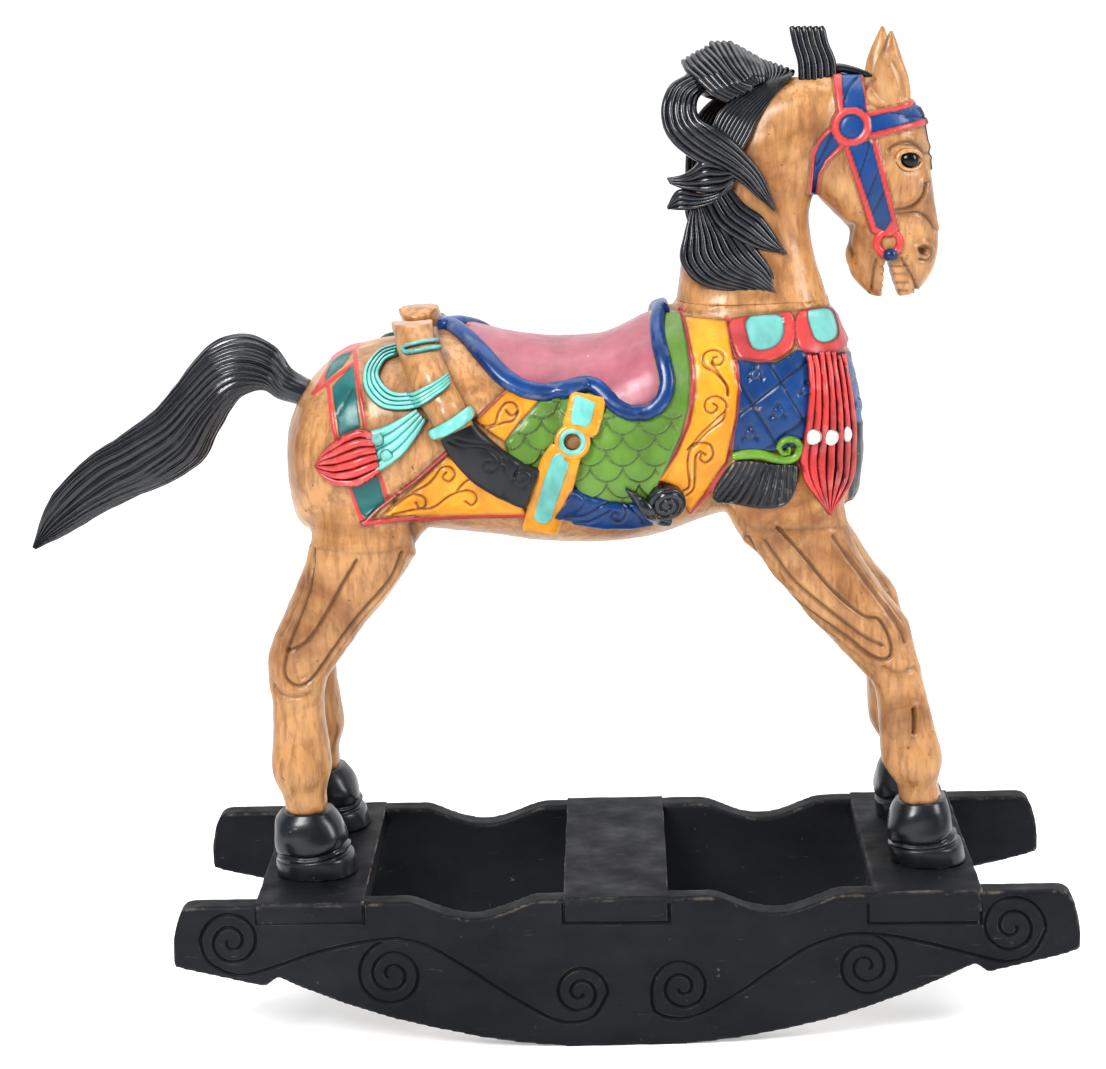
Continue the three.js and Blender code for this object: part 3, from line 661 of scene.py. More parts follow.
FORE_FOLDS = [
    (zoom(FORE, [(180, 215), (250, 340), (330, 425), (420, 500), (560, 600), (640, 660), (700, 668),
                 (716, 630), (700, 570), (665, 518), (610, 508), (500, 420), (380, 280), (290, 180)]),
     1.8, 2.2),
    (zoom(FORE, [(500, 210), (600, 350), (700, 480), (750, 560), (765, 605)]), 1.8, 1.5),
    (zoom(FORE, [(240, 230), (340, 370), (470, 480), (600, 580), (680, 620)]), 1.8, 1.5),
    (zoom(FORE, [(797, 858), (800, 900), (797, 945)]), 1.9, 3.5),
    (zoom(FORE, [(690, 700), (740, 720), (800, 700)]), 2.4, 1.2),
]

# Overlapping scales and quilted diamonds, in drawing units
SCALE_WIDE, SCALE_HIGH, SCALE_RADIUS = 32.5, 15.5, 18.5
FLOWER_AT = np.array([755.0, 375.0])
QUILT_STEPS = np.array([[23.0, 37.0], [28.0, -22.0]])

SCALLOP_ONE, SCALLOP_TWO, INLAY_ONE, INLAY_TWO, FRINGE, SEAT = (
    rounded(a) for a in (SCALLOP_ONE, SCALLOP_TWO, INLAY_ONE, INLAY_TWO, FRINGE, SEAT))
RING_HOLE = zoom(SADDLE, [(943, 795)])[0]


def scales(p):
    """Height of overlapping rounded scales, and painted shade at each scale's rim, fading inwards."""
    height, edge = np.full(len(p), 0.3), np.zeros(len(p))
    for k in range(14, -4, -1):
        middle_y = 385 + k * SCALE_HIGH
        offset = SCALE_WIDE / 2 * (k % 2)
        dx = (p[:, 0] - 590 - offset + SCALE_WIDE / 2) % SCALE_WIDE - SCALE_WIDE / 2
        dy = p[:, 1] - middle_y
        d = np.hypot(dx * 1.08, dy) / SCALE_RADIUS
        here = d < 1
        height = np.where(here, 0.5 + 1.9 * np.clip(dy / SCALE_RADIUS, -0.4, 1) * smooth((1 - d) * 14),
                          height)
        inward = (1 - d) * SCALE_RADIUS
        edge = np.where(here, np.maximum(bell(inward, 1.3), 0.5 * np.exp(-inward / 3.5)), edge)
    return height, edge


def quilt(p):
    """Height of the quilted diamonds with their small flowers, and painted shade in their grooves and sunk
    petals.
    """
    cell = (p - FLOWER_AT) @ np.linalg.inv(QUILT_STEPS)
    part = cell - np.round(cell)
    gap = (0.5 - np.abs(part)) * [38.0, 33.0]
    line = bell(gap.min(1), 1.5)
    local = part @ QUILT_STEPS
    r = np.hypot(local[:, 0], local[:, 1])
    angle = np.arctan2(local[:, 1], local[:, 0])
    petal = smooth((11 - r) / 2) * smooth((np.cos(3 * angle - math.pi / 2) - 0.45) * 3) * (r > 5)
    bud = smooth((4.8 - r) / 1.2)
    ditch = bell(r - 5.6, 1.0)
    height = 1.2 * (1 - line) + 1.3 * bud - 1.3 * petal - 0.4 * ditch
    return height, np.clip(line + 0.5 * ditch + 0.5 * petal, 0, 1)


def folds(p, lines):
    depth, dark = np.zeros(len(p)), np.zeros(len(p))
    for route, half, deep in lines:
        route = curve(route, 5)
        near = line_distance(p, route)
        depth += deep * (1.4 * bell(near, half) - 0.6 * bell(near - 2.4 * half, half))
        # Painted shade in each fold, with a wider, fainter painted shade round it
        dark = np.maximum(dark, bell(near, 0.75 * half) * (0.8 if deep > 1.3 else 0.3) + 0.20 * bell(near, 7))
    return depth, dark


def grain(points, seed, size, amount):
    """Gentle tool marks: a sum of a few waves in random directions."""
    rng = np.random.default_rng(seed)
    total = np.zeros(len(points))
    for _ in range(14):
        direction = rng.normal(size=3)
        direction *= 2 * math.pi / (size * rng.uniform(0.6, 1.7)) / np.linalg.norm(direction)
        total += np.sin(points @ direction + rng.uniform(0, 6.3))
    return amount * total / 4


# Relief of the saddle cloth, its trims and the carving, in millimetres
CLOTH_RISE, BORDER_RISE, SCALLOP_RISE, FRINGE_RISE, CRUPPER_RISE, CANTLE_RISE = 2.6, 1.3, 5.0, 4.0, 0.6, 5.0
INLAY_SINK, SCROLL_SINK, CUT_SINK, MUSCLE_SINK, SEAM_SINK = 1.5, 2.0, 1.2, 1.3, 0.9
SCALE_GAIN, RIB_GAIN, RIB_PITCH = 1.7, 2.4, 5.4
NEAR_SIDE = -20


def carve_body(obj):
    points, normals = points_of(obj)
    p = drawn(points)
    layers = {}
    seat = area_distance(p, SEAT) - 3
    green = area_distance(p, GREEN)
    band = area_distance(p, BAND)
    rear = to_areas(p, REAR_UPPER, REAR_LOWER)
    stitched = area_distance(p, QUILT)
    scallop = to_areas(p, SCALLOP_ONE, SCALLOP_TWO)
    inlay = to_areas(p, INLAY_ONE, INLAY_TWO)
    fringe = to_areas(p, FRINGE, FRONT_FRINGE)
    crupper = to_areas(p, *CRUPPERS)
    green_edge = to_lines(p, [GREEN_EDGE]) - 2.0
    band_edge = to_lines(p, [BAND_EDGE]) - 2.3
    layers["a_green"] = np.maximum(np.minimum(green, area_distance(p, FRONT_GREEN)),
                                   8.5 - np.hypot(*(p - RING_HOLE).T))
    layers["b_pink"] = seat
    layers["c_yellow"] = np.minimum(band, rear)
    layers["d_blue"] = stitched
    crupper_edge = to_lines(p, CRUPPER_EDGES) - 2.1
    rear_edge = np.min([to_lines(p, [e]) - w for e, w in zip(REAR_EDGES, (1.5, 2.0, 2.9))], 0)
    layers["e_coral"] = np.min([green_edge, band_edge, rear_edge, scallop, crupper_edge], 0)
    layers["f_teal"] = crupper
    layers["g_turquoise"] = inlay
    layers["h_black"] = fringe
    cloth = np.min([green, band, rear, rear_edge, stitched, area_distance(p, FRONT_GREEN)], 0)
    height = CLOTH_RISE * within(cloth, 2.5)
    height += BORDER_RISE * within(np.min([green_edge, band_edge, rear_edge, crupper_edge], 0), 2.0)
    height = np.maximum(height, SCALLOP_RISE * within(scallop, 3.0))
    height -= INLAY_SINK * within(inlay, 1.2)
    height = np.maximum(height, FRINGE_RISE * within(fringe, 3.0))
    height += CRUPPER_RISE * within(crupper, 1.2)
    # Darker along the rims of the cloth, inlays, scallops and crupper straps: painted shade at their steps
    dark = np.max([0.8 * bell(cloth, 1.4), 0.9 * bell(inlay, 1.1), 0.8 * bell(scallop - 0.6, 1.2),
                   0.6 * bell(crupper, 1.0)], 0)
    # Fine lines fade out towards the left side, whose mesh is coarser
    seen = within(points[:, 1], 16)
    dark *= seen
    in_scales = seen * within(green + 4, 3) * smooth((p[:, 1] - 412) / 6 + 0.5 + (p[:, 0] < 560) * 4)
    in_scales *= smooth((p[:, 1] - 394) / 4)
    scale_height, scale_edge = scales(p)
    height += SCALE_GAIN * in_scales * (scale_height - 0.8)
    # Painted shade at the scales' rims
    dark = np.maximum(dark, 0.9 * in_scales * scale_edge)
    in_quilt = seen * within(stitched + 2, 3) * smooth(0.5 + scallop / 2) * smooth(0.5 + fringe / 2)
    quilt_height, quilt_dark = quilt(p)
    height += in_quilt * (quilt_height - 1.2)
    # Painted shade in the quilting's grooves
    dark = np.maximum(dark, 0.85 * in_quilt * quilt_dark)
    lean = p[:, 0] + 0.55 * (p[:, 1] - 455) * np.clip((790 - p[:, 0]) / 60, 0.1, 1.2)
    ribs = np.abs(np.sin(lean * math.pi / RIB_PITCH))
    in_fringe = seen * within(fringe + 1, 2)
    height += RIB_GAIN * in_fringe * (ribs ** 0.6 - 0.6)
    # Painted shade in the valleys between the fringe's ribs
    dark = np.maximum(dark, 0.9 * in_fringe * bell(ribs, 0.36))
    # Incised scrolls with painted shade in their grooves
    for route in SCROLLS:
        near = line_distance(p, curve(route, 5))
        height -= seen * (SCROLL_SINK * bell(near, 1.1) - 0.7 * bell(near - 3.2, 1.4))
        dark = np.maximum(dark, seen * bell(near, 0.9))
    # A cut line with painted shade in it
    cut_line = line_distance(p, zoom(RUMP, [(326, 530), (405, 395)]))
    height -= CUT_SINK * seen * bell(cut_line, 1.0)
    dark = np.maximum(dark, 0.8 * seen * bell(cut_line, 1.0))
    for lines in (BODY_FOLDS, HIND_FOLDS, FORE_FOLDS):
        deep, shade = folds(p, lines)
        free_wood = smooth(np.min([cloth, scallop, fringe], 0) / 2)
        height -= deep * free_wood
        dark = np.maximum(dark, shade * free_wood)
    # Painted shade, a brown halo, round the rope, cords, tassels and hilt
    halo_shade = to_lines(p, SHADE_HALOS)
    dark = np.maximum(dark, 0.42 * bell(halo_shade, 4.5) * (cloth > 0))
    cantle = bell(points[:, 0] + 78, 38) * (layers["b_pink"] < 0) * (normals[:, 2] > 0.3)
    height += CANTLE_RISE * cantle
    inner = to_areas(p, HIND_FOLDS[0][0], FORE_FOLDS[0][0])
    height -= MUSCLE_SINK * within(inner + 3, 5)
    height += grain(points, 3, 60, 0.5) + grain(points, 4, 17, 0.2)
    seam = bell(points[:, 2] - 770, 1.6) * (points[:, 0] > 120)
    height -= SEAM_SINK * seam
    dark = np.maximum(dark, 0.7 * seam)
    move_to(obj, points + normals * height[:, None])
    for name, values in layers.items():
        store(obj, name, values)
    store(obj, "dark", dark)


# Barrel, legs and root of the neck in one skin
BODY_VOXEL, HEAD_VOXEL, BOARD_VOXEL = ((5.7, 2.0, 3.2))
BODY_ROUNDS, HEAD_ROUNDS = ((5, 5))
PLANK_VOXEL = 4.0
body = make("horse_body", merge([loft(BODY, 72, 6), loft(NECK[:5], 48, 8),
                                 *both(loft(HIND_LEG, 40, 6)), *both(loft(FORE_LEG, 40, 6))]))
fuse(body, BODY_VOXEL, BODY_ROUNDS)
cut(body, NECK_SEAM - SEAM_GAP / 2, 1)


def detailed(middles):
    p = drawn(middles)
    cloth = to_areas(p, GREEN, BAND, REAR_UPPER, REAR_LOWER, QUILT)
    lines = np.min([line_distance(p, np.array(line[0])) for line in HIND_FOLDS + FORE_FOLDS], 0)
    near = middles[:, 1] < NEAR_SIDE
    close_by = (cloth < 6) | (lines < 7) | (to_areas(p, SCALLOP_ONE, SCALLOP_TWO) < 4)
    close_by |= (area_distance(p, FRINGE) < 5) | (to_areas(p, *CRUPPERS) < 6)
    return near & (close_by | (np.abs(area_distance(p, SEAT)) < 4))


def finest(middles):
    p = drawn(middles)
    lines = [curve(e, 4) for e in (GREEN_EDGE, BAND_EDGE, *REAR_EDGES, *CRUPPER_EDGES)]
    lines += [curve(route, 4) for route in SCROLLS]
    lines += [np.array(fold[0]) for fold in HIND_FOLDS + FORE_FOLDS + BODY_FOLDS]
    close = np.min([line_distance(p, line) for line in lines], 0) < 2.7
    rims = (REAR_UPPER, REAR_LOWER, SCALLOP_ONE, SCALLOP_TWO, INLAY_ONE, INLAY_TWO, *CRUPPERS)
    close |= np.min([np.abs(area_distance(p, a)) for a in rims], 0) < 1.7
    close |= np.abs(area_distance(p, SEAT) - 3) < 1.8
    close |= to_areas(p, GREEN, QUILT, FRINGE) < 1
    return (middles[:, 1] < NEAR_SIDE) & close


refine(body, detailed)
refine(body, finest)
carve_body(body)
skin_tree = tree_of(body)


# Head, ears and neck
CROWN = zoom(FACE, [(252, 330), (397, 330), (434, 565), (283, 565)])
CROWN_IN = zoom(FACE, [(298, 320), (385, 320), (424, 560), (312, 560)])
BROW = zoom(FACE, [(428, 552), (560, 520), (655, 484), (700, 505), (712, 610), (560, 650), (446, 682)])
BROW_IN = zoom(FACE, [(434, 574), (560, 545), (668, 510), (720, 520), (720, 580), (560, 622), (446, 650)])
THROAT = zoom(FACE, [(262, 610), (190, 675), (150, 745), (145, 850), (130, 950), (192, 950), (202, 860),
                     (240, 790), (312, 722), (300, 680)])
THROAT_IN = zoom(FACE, [(255, 640), (200, 700), (168, 765), (160, 850), (140, 960), (184, 960),
                        (193, 850), (225, 780), (292, 712)])
CHEEK = zoom(FACE, [(308, 712), (440, 690), (474, 684), (582, 1120), (540, 1160), (490, 1160),
                    (448, 1135)])
CHEEK_IN = zoom(FACE, [(334, 705), (446, 690), (546, 1075), (512, 1128), (474, 1108)])
STRAP_LINES = zoomed(
    FACE, [(385, 385), (335, 440), (310, 505)],
    [(570, 553), (630, 572), (700, 580)],
    [(437, 705), (418, 780), (388, 855)],
    [(472, 850), (452, 905), (428, 958)],
    [(506, 935), (485, 985), (455, 1040)],
    [(250, 660), (215, 740), (180, 800)])
DISC_AT, BIT_AT, EYE_AT = zoom(FACE, [(350, 620), (530, 1188), (631, 782)])
MOUTH = [[373, 827], [367, 758], [392, 758]]
FACE_FOLDS = [
    (zoom(FACE, [(565, 1030), (640, 1015), (695, 965), (716, 895)]), 1.5, 2.4),
    (zoom(FACE, [(568, 1050), (660, 1042), (720, 1060), (757, 1115)]), 1.5, 2.2),
    (zoom(FACE, [(538, 735), (562, 712), (610, 700), (670, 708), (716, 750)]), 2.2, 2.2),
    (zoom(FACE, [(676, 1215), (700, 1200), (724, 1216), (738, 1243), (718, 1272), (684, 1268)]), 1.5, 2.2),
    (zoom(FACE, [(690, 1225), (705, 1222), (712, 1238)]), 2.2, 4.5),
    (zoom(FACE, [(592, 1262), (625, 1320), (655, 1370), (666, 1425)]), 1.1, 2.0),
    (zoom(FACE, [(470, 1270), (455, 1340), (445, 1420)]), 1.1, 2.0),
    (zoom(FACE, [(350, 1110), (335, 1180), (350, 1250)]), 3.0, 1.4),
    (zoom(FACE, [(462, 390), (420, 450), (440, 500), (500, 530), (600, 510)]), 1.5, 1.2),
    (zoom(FACE, [(555, 300), (600, 400), (610, 480)]), 2.6, 1.0),
]
# Lines round which painted shade, a brown halo, falls on the neck: the edges of the mane's locks
NECK_SHADE_HALOS = [zoom((640, 20, 7.84), h) for h in (
    [(1195, 432), (1080, 560), (990, 680), (920, 790), (862, 920), (800, 1030)],
    [(730, 950), (830, 1050), (935, 1180), (1003, 1310), (1062, 1482)],
    [(780, 1262), (900, 1372), (1052, 1492)])]
NECK_SHADE_HALOS += [[(727, 184), (745, 205), (762, 217), (775, 235), (786.5, 253)],
               [(741, 233), (757, 250), (770, 268), (782, 296)],
               [(684, 270), (700, 284), (740, 293), (781, 298)]]


def wedge(outline, half):
    return skin([[(x, -half, z) for x, z in outline], [(x, half, z) for x, z in outline]])


def carve_head(obj):
    points, normals = points_of(obj)
    p = drawn(points)
    coral = to_areas(p, CROWN, BROW, THROAT, CHEEK)
    blue = to_areas(p, CROWN_IN, BROW_IN, THROAT_IN, CHEEK_IN)
    r = np.hypot(*(p - DISC_AT).T)
    coral = np.minimum(coral, r - 20)
    blue = np.where(r < 18.5, np.maximum(r - 12.2, -5), blue)
    front = (points[:, 0] > 378) & (points[:, 2] > 910)
    blaze = np.abs(points[:, 1]) - 13
    blaze = np.where(front & (points[:, 2] < 975), blaze, 5.0)
    height = 3.2 * within(coral, 2.0) - 0.9 * within(blue, 1.0)
    height += 1.6 * bell(r - 16, 3) + 1.2 * smooth((12 - r) / 4)
    # Painted shade along the rims of the bridle's fields and of the disc
    dark = np.maximum(0.8 * bell(blue, 0.8), 0.7 * bell(coral - 0.8, 1.1))
    disc_dark = np.maximum(0.8 * bell(r - 12.2, 0.8), 0.7 * bell(r - 20.6, 1))
    dark = np.where(r < 21, disc_dark, dark)
    # Incised strap lines with painted shade in them
    for route in STRAP_LINES:
        near = line_distance(p, curve(route, 5))
        hold = smooth(0.5 - blue)
        height -= 1.4 * bell(near, 0.9) * hold
        dark = np.maximum(dark, 0.9 * bell(near, 0.9) * hold)
    bare = smooth(coral / 1.5)
    deep, shade = folds(p, FACE_FOLDS)
    height -= deep * bare
    dark = np.maximum(dark, shade * bare)
    socket = (((p - EYE_AT) / [12.5, 9.8]) ** 2).sum(1)
    height -= 4.5 * np.exp(-socket) * bare
    # Painted shade round the eye socket
    dark = np.maximum(dark, 0.45 * np.exp(-1.2 * (socket - 0.9) ** 2) * bare)
    cheek = np.hypot((p[:, 0] - 893) / 22, (p[:, 1] - 180) / 24)
    height += 2.5 * smooth(1 - cheek) * bare
    nose = np.hypot((p[:, 0] - 924) / 9, (p[:, 1] - 251) / 10)
    height += 3.0 * smooth(1.2 - nose) * bare
    nostril = np.hypot((p[:, 0] - 922.5) / 1.1, p[:, 1] - 252) / 4.2
    height -= 5.5 * bell(nostril, 1)
    # Painted shade in the nostril
    dark = np.maximum(dark, np.exp(-nostril ** 4))
    height += 2.2 * within(blaze, 3)
    lips = np.abs(points[:, 0] - 381)
    teeth_rows = np.abs((p[:, 1] - 262) % 8.2 - 4.1)
    teeth = (lips < 15) & (points[:, 2] < 826) & (points[:, 2] > 779)
    height -= 1.3 * teeth * bell(teeth_rows, 1.0)
    # Painted shade between the rows of teeth
    dark = np.maximum(dark, 0.85 * teeth * bell(teeth_rows, 1.0))
    # Painted shade, a brown halo, round the mane's locks
    halo_shade = to_lines(p, NECK_SHADE_HALOS)
    dark = np.maximum(dark, 0.40 * bell(halo_shade, 5) * bare)
    height += grain(points, 5, 50, 0.35) + grain(points, 6, 15, 0.12)
    move_to(obj, points + normals * height[:, None])
    store(obj, "e_coral", coral)
    store(obj, "f_blue", blue)
    store(obj, "h_black", blaze)
    store(obj, "dark", dark)


head_block = make("head_block", loft(HEAD, 56, 8))
mouth = make("mouth_cut", wedge(MOUTH, 60))
gap = head_block.modifiers.new("mouth", "BOOLEAN")
gap.operation = "DIFFERENCE"
gap.object = mouth
gap.solver = "EXACT"
bake(head_block)
bpy.data.objects.remove(mouth)
block_points, _ = points_of(head_block)
block = (block_points, [tuple(f.vertices) for f in head_block.data.polygons])
bpy.data.objects.remove(head_block)
ear = loft(EAR, 28, 8)
far_ear = mirror(ear)
far_ear = (far_ear[0] + [-3.5, 0, 1.5], far_ear[1])
head = make("horse_head", merge([block, loft(NECK[1:], 48, 8), ear, far_ear]))
fuse(head, HEAD_VOXEL, HEAD_ROUNDS)
cut(head, NECK_SEAM + SEAM_GAP / 2, -1)
carve_head(head)
head_tree = tree_of(head)

eye_at = touch(head_tree, *EYE_AT)[0]
rings = []
for k in range(1, 14):
    lat = math.pi * k / 14
    rings.append([(10.8 * math.sin(lat) * math.cos(a), -7.6 * math.cos(lat),
                   8.6 * math.sin(lat) * math.sin(a)) for a in circle(24)])
ball_points, ball_faces = skin(rings)
eye_shape = (ball_points * [1.0, 1.0, 1.12] + eye_at + [0, 0.2, 0], ball_faces)
eyes = make("eyes", merge(both(eye_shape)))
LIDS = [([(566, 776), (586, 746), (628, 732), (668, 742), (690, 772)], 2.6, 1.8),
        ([(572, 792), (598, 824), (634, 834), (670, 824), (690, 794)], 2.0, 1.4)]
eyelids = make("eyelids", merge([s for route, wide, lift in LIDS for s in both(laid(
    head_tree, zoom(FACE, route), [0.9, wide, wide, wide, 0.9], wide, lift, steps=8, sides=12))]))

ring_at = touch(head_tree, *BIT_AT)[0] + [0, -1.5, 0]
bit_ring = make("bit_rings", merge(both(torus(
    ring_at, np.array([0, -1.0, 0]), np.array([1.0, 0, 0]), np.array([0, 0, 1.0]), 12.2, 4.3, sides=14))))
ball = (ball_points * [0.72, 0.9, 0.82] + ring_at + [2.0, -3.0, -12.5], ball_faces)
bit_ball = make("bit_balls", merge(both(ball)))


# Hooves with an overlapping cuff and a thin rim; heights in millimetres
CUFF_AT, HOOF_GROUND = 193, 168.2


def hoof(rows):
    rings = []
    for row in curve(rows, 8):
        angle = circle(72)
        x, reach, out, z, up = section(row, angle)
        lip = z - (CUFF_AT + 5 * up + 2.0 * np.sin(3 * angle + 0.6))
        swell = 2.6 * (lip < 0) - 1.8 * bell(lip - 1.5, 1.8)
        swell += 0.9 * np.sin(4 * angle + z / 9) * bell(z - 210, 18)
        k = 1 + swell / 38
        rings.append(np.c_[x + reach * k, row[6] - out * k, np.maximum(z, HOOF_GROUND)])
    return skin(rings)


hind_hooves = make("hind_hooves", merge(both(hoof(HIND_HOOF))))
fore_hooves = make("fore_hooves", merge(both(hoof(FORE_HOOF))))

# Tail of fluted locks
TAIL_SIDES, TAIL_FLUTES = 192, 24
tail = make("horse_tail", loft(TAIL, TAIL_SIDES, 14))
tail_points, tail_normals = points_of(tail)
number = np.arange(len(tail_points) - 2)
tail_angle = (number % TAIL_SIDES) / TAIL_SIDES * 2 * math.pi
tail_along = number // TAIL_SIDES / (number.max() // TAIL_SIDES)
turn = tail_angle + 0.16 * np.sin(9 * tail_along + 2 * tail_angle) + 0.9 * tail_along
furrow = (0.5 - 0.5 * np.cos(TAIL_FLUTES * turn)) ** 1.6
furrow *= 0.72 + 0.28 * np.sin(5 * tail_angle + 4 * tail_along) ** 2
furrow *= smooth(tail_along / 0.22)
furrow = np.append(furrow, [0, 0])
move_to(tail, tail_points + tail_normals * (
    np.sin(tail_points[:, 2] / 23 + tail_points[:, 0] / 31) * 0.8 - 3.2 * furrow
    + grain(tail_points, 9, 26, 0.35))[:, None])
# Painted shade in the tail's furrows
store(tail, "dark", furrow * 0.8)


# Mane locks
MANE = (640, 20, 7.84)


def ribbon(edge_a, edge_b, depths, strands, view=None, arch=5.0, thick=1.1):
    """Fluted lock between two drawn edges, its strands spread evenly across."""
    if view:
        edge_a, edge_b = zoom(view, edge_a), zoom(view, edge_b)
    a, b = between(edge_a, edge_b)
    gap = np.linalg.norm(a - b, axis=1)
    deep = spread(depths, np.linspace(0, 1, len(a)))
    shapes = []
    for k in range(strands):
        share = (k + 0.5) / strands
        line = a + (b - a) * share
        centres = [on_plane(u, v, y) for (u, v), y in zip(line, deep + arch * (share * 2 - 1) ** 2)]
        radius = np.maximum(gap / strands * 0.58 * thick, 1.0)
        shapes.append(sweep(centres, np.tile([0.0, -1.0, 0.0], (len(a), 1)), radius,
                            np.maximum(radius * 1.45, 2.6), sides=12))
    return shapes


locks = ribbon([(385, 425), (250, 500), (190, 600), (168, 720), (190, 850), (250, 950), (345, 1035),
                (450, 1100), (620, 1172), (780, 1262), (900, 1372), (1052, 1492)],
               [(520, 540), (458, 610), (440, 680), (448, 740), (485, 795), (560, 838), (640, 885),
                (730, 950), (830, 1050), (935, 1180), (1003, 1310), (1062, 1482)],
               [-30, -38, -46, -50, -54, -57, -58, -57, -56, -54, -52], 6, MANE, thick=1.12, arch=7)
locks += ribbon([(1195, 432), (1080, 560), (990, 680), (920, 790), (862, 920), (800, 1030), (760, 1110)],
                [(1190, 418), (1010, 480), (850, 545), (715, 632), (625, 720), (575, 830), (560, 940)],
                [-20, -32, -40, -45, -48, -48], 10, MANE, arch=3)
locks += ribbon([(735, 1160), (620, 1120), (500, 1100), (420, 1165), (330, 1215), (212, 1236)],
                [(735, 1250), (650, 1325), (540, 1350), (440, 1340), (330, 1320), (240, 1284)],
                [-52, -54, -52, -48, -44], 4, MANE, thick=1.12)
locks += ribbon([(745, 1230), (650, 1320), (520, 1362), (420, 1350), (300, 1335), (214, 1462)],
                [(725, 1310), (620, 1410), (520, 1455), (420, 1482), (310, 1488), (222, 1482)],
                [-50, -53, -50, -47, -44], 4, MANE, thick=1.12)
locks += ribbon([(727, 184), (745, 205), (762, 217), (775, 235), (786.5, 253)],
                [(704, 196), (715, 222), (735, 238), (757, 248), (785, 254)], [-48, -51, -54, -54, -51], 5)
locks += ribbon([(708, 200), (741, 233), (757, 250), (770, 268), (782, 296)],
                [(692, 206), (684, 236), (681, 262), (700, 283), (740, 292), (781, 297)],
                [-44, -50, -54, -55, -52], 10, thick=1.08)
mane_near = make("mane_right", merge(locks))
crest_locks = []
for edge_a, edge_b, count, deep in (
        ([(330, 350), (365, 410), (450, 480), (560, 575), (680, 640)],
         [(480, 255), (545, 330), (630, 420), (720, 520), (830, 565)], 4, [0, -20, -34, -41, -42]),
        ([(480, 262), (545, 330), (630, 420), (710, 510), (800, 570)],
         [(545, 215), (620, 300), (700, 400), (790, 490), (900, 530)], 2, [0, -20, -34, -43, -43]),
        ([(545, 195), (610, 300), (690, 410), (790, 500), (870, 525)],
         [(735, 195), (790, 300), (840, 380), (880, 440), (940, 495)], 4, [0, -18, -30, -41, -42]),
        ([(740, 215), (790, 300), (840, 390), (870, 450), (900, 510)],
         [(930, 320), (965, 370), (980, 415), (985, 450), (975, 485)], 4, [0, -15, -25, -33, -36]),
        ([(925, 318), (960, 370), (980, 415), (985, 460), (975, 495)],
         [(1200, 418), (1180, 432), (1150, 446), (1110, 462), (1070, 478)], 7, [0, -9, -16, -22, -26])):
    shapes = ribbon(edge_a, edge_b, deep, count, MANE, arch=2)
    crest_locks += shapes + [mirror(s) for s in shapes]
crest_locks.append(loft([[r[0], r[1] - 14, r[2], r[3], r[4] * 0.8, r[5]] for r in CREST], 40, 5))
crest = make("mane_crest", merge(crest_locks))
far_locks = [mirror(s) for s in ribbon(
    [(797, 76), (775, 100), (757, 130), (748, 165), (752, 210), (772, 262)],
    [(755, 86), (712, 108), (692, 140), (688, 190), (696, 240), (768, 268)],
    [-26, -38, -44, -47, -50, -50], 13)]
mane_far = make("mane_left", merge(far_locks))
# Painted shade in the valleys between the mane's strands
for obj, side in ((mane_near, -1.0), (mane_far, 1.0)):
    paint_valley_shade(obj, lambda q, side=side: np.tile([0.0, side, 0.0], (len(q), 1)))
paint_valley_shade(crest, lambda q: np.c_[0 * q[:, 0], q[:, 1], 12 + 0 * q[:, 2]], clear=0.75, deep=0.45)
fore_locks = []
for k in range(6):
    x0, x1 = 801 + 6.3 * k, 795 + 5.9 * k
    for y in (-9, 0, 9):
        route = [on_plane(u, v, y * s) for (u, v, s) in
                 ((x0 + 1, 80, 1.7), (x0, 62, 1.5), (x1 + 1, 44, 1.2), (x1 - 2, 31, 1.0),
                  (x1 - 3.5, 26.5, 0.9))]
        fore_locks.append(free(route, [3.9, 3.9, 3.8, 3.7, 2.6], [4.5, 4.5, 4.2, 4.0, 3.0], sides=10))
for y in (-7, 0, 7):
    route = [on_plane(u, v, y) for u, v in ((822, 72), (838, 68), (852, 70), (866, 74), (872, 76))]
    fore_locks.append(free(route, [3.0, 5.0, 4.2, 3.2, 1.6], [5, 5, 5, 5, 3], sides=10))
forelock = make("forelock", merge(fore_locks))
# Painted shade between the forelock's strands
paint_valley_shade(forelock, lambda q: np.c_[0 * q[:, 0], q[:, 1], 0 * q[:, 2]], clear=0.75, deep=0.4)


# Rolled edge of the seat, hilts, scabbard, strap and cords
seat_roll = make("seat_roll", merge(both(laid(
    skin_tree, ROLL_LINE, [8.0, 10.0, 10.0, 9.0, 8.4, 8.4, 8.2, 7.4], 8.0, 2.5,
    steps=10, sides=20, power=0.72))))
HILT_DRAWN = [(412, 316, -48), (413, 328, -58), (418, 349, -76), (425, 368, -94), (435, 390, -110),
              (446, 411, -121), (456, 432, -127)]
HILT_LINE = [tuple(on_plane(*row)) for row in HILT_DRAWN]
HILT_TOP = on_plane(413, 322, -54)[2]


def hilt():
    line = curve(HILT_LINE, 10)
    angle = circle(40)
    rings = []
    for i, centre in enumerate(line):
        along = line[min(i + 1, len(line) - 1)] - line[max(i - 1, 0)]
        along /= np.linalg.norm(along)
        side = np.cross(along, [0, -1, 0])
        side /= np.linalg.norm(side)
        up = np.cross(side, along)
        place = i / (len(line) - 1)
        facet = 1 + 0.035 * np.cos(9 * angle + 2 * place) * smooth(1 - place * 2.5)
        radius = np.interp(place, [0, 0.05, 0.2, 0.55, 1], [20.2, 21.6, 21.2, 21.2, 19.6]) * facet
        rings.append(centre + np.outer(np.cos(angle) * radius, side) + np.outer(np.sin(angle) * radius, up))
    points, faces = skin(rings)
    points[:, 2] = np.minimum(points[:, 2], HILT_TOP + 0.02 * (points[:, 0] + 133))
    return points, faces


hilt_shape = hilt()
hilts = make("hilts", merge(both(hilt_shape)))
hp, hn = points_of(hilts)
move_to(hilts, hp + hn * grain(hp, 12, 16, 0.35)[:, None])
trim_tree = tree_of(body, hilts)

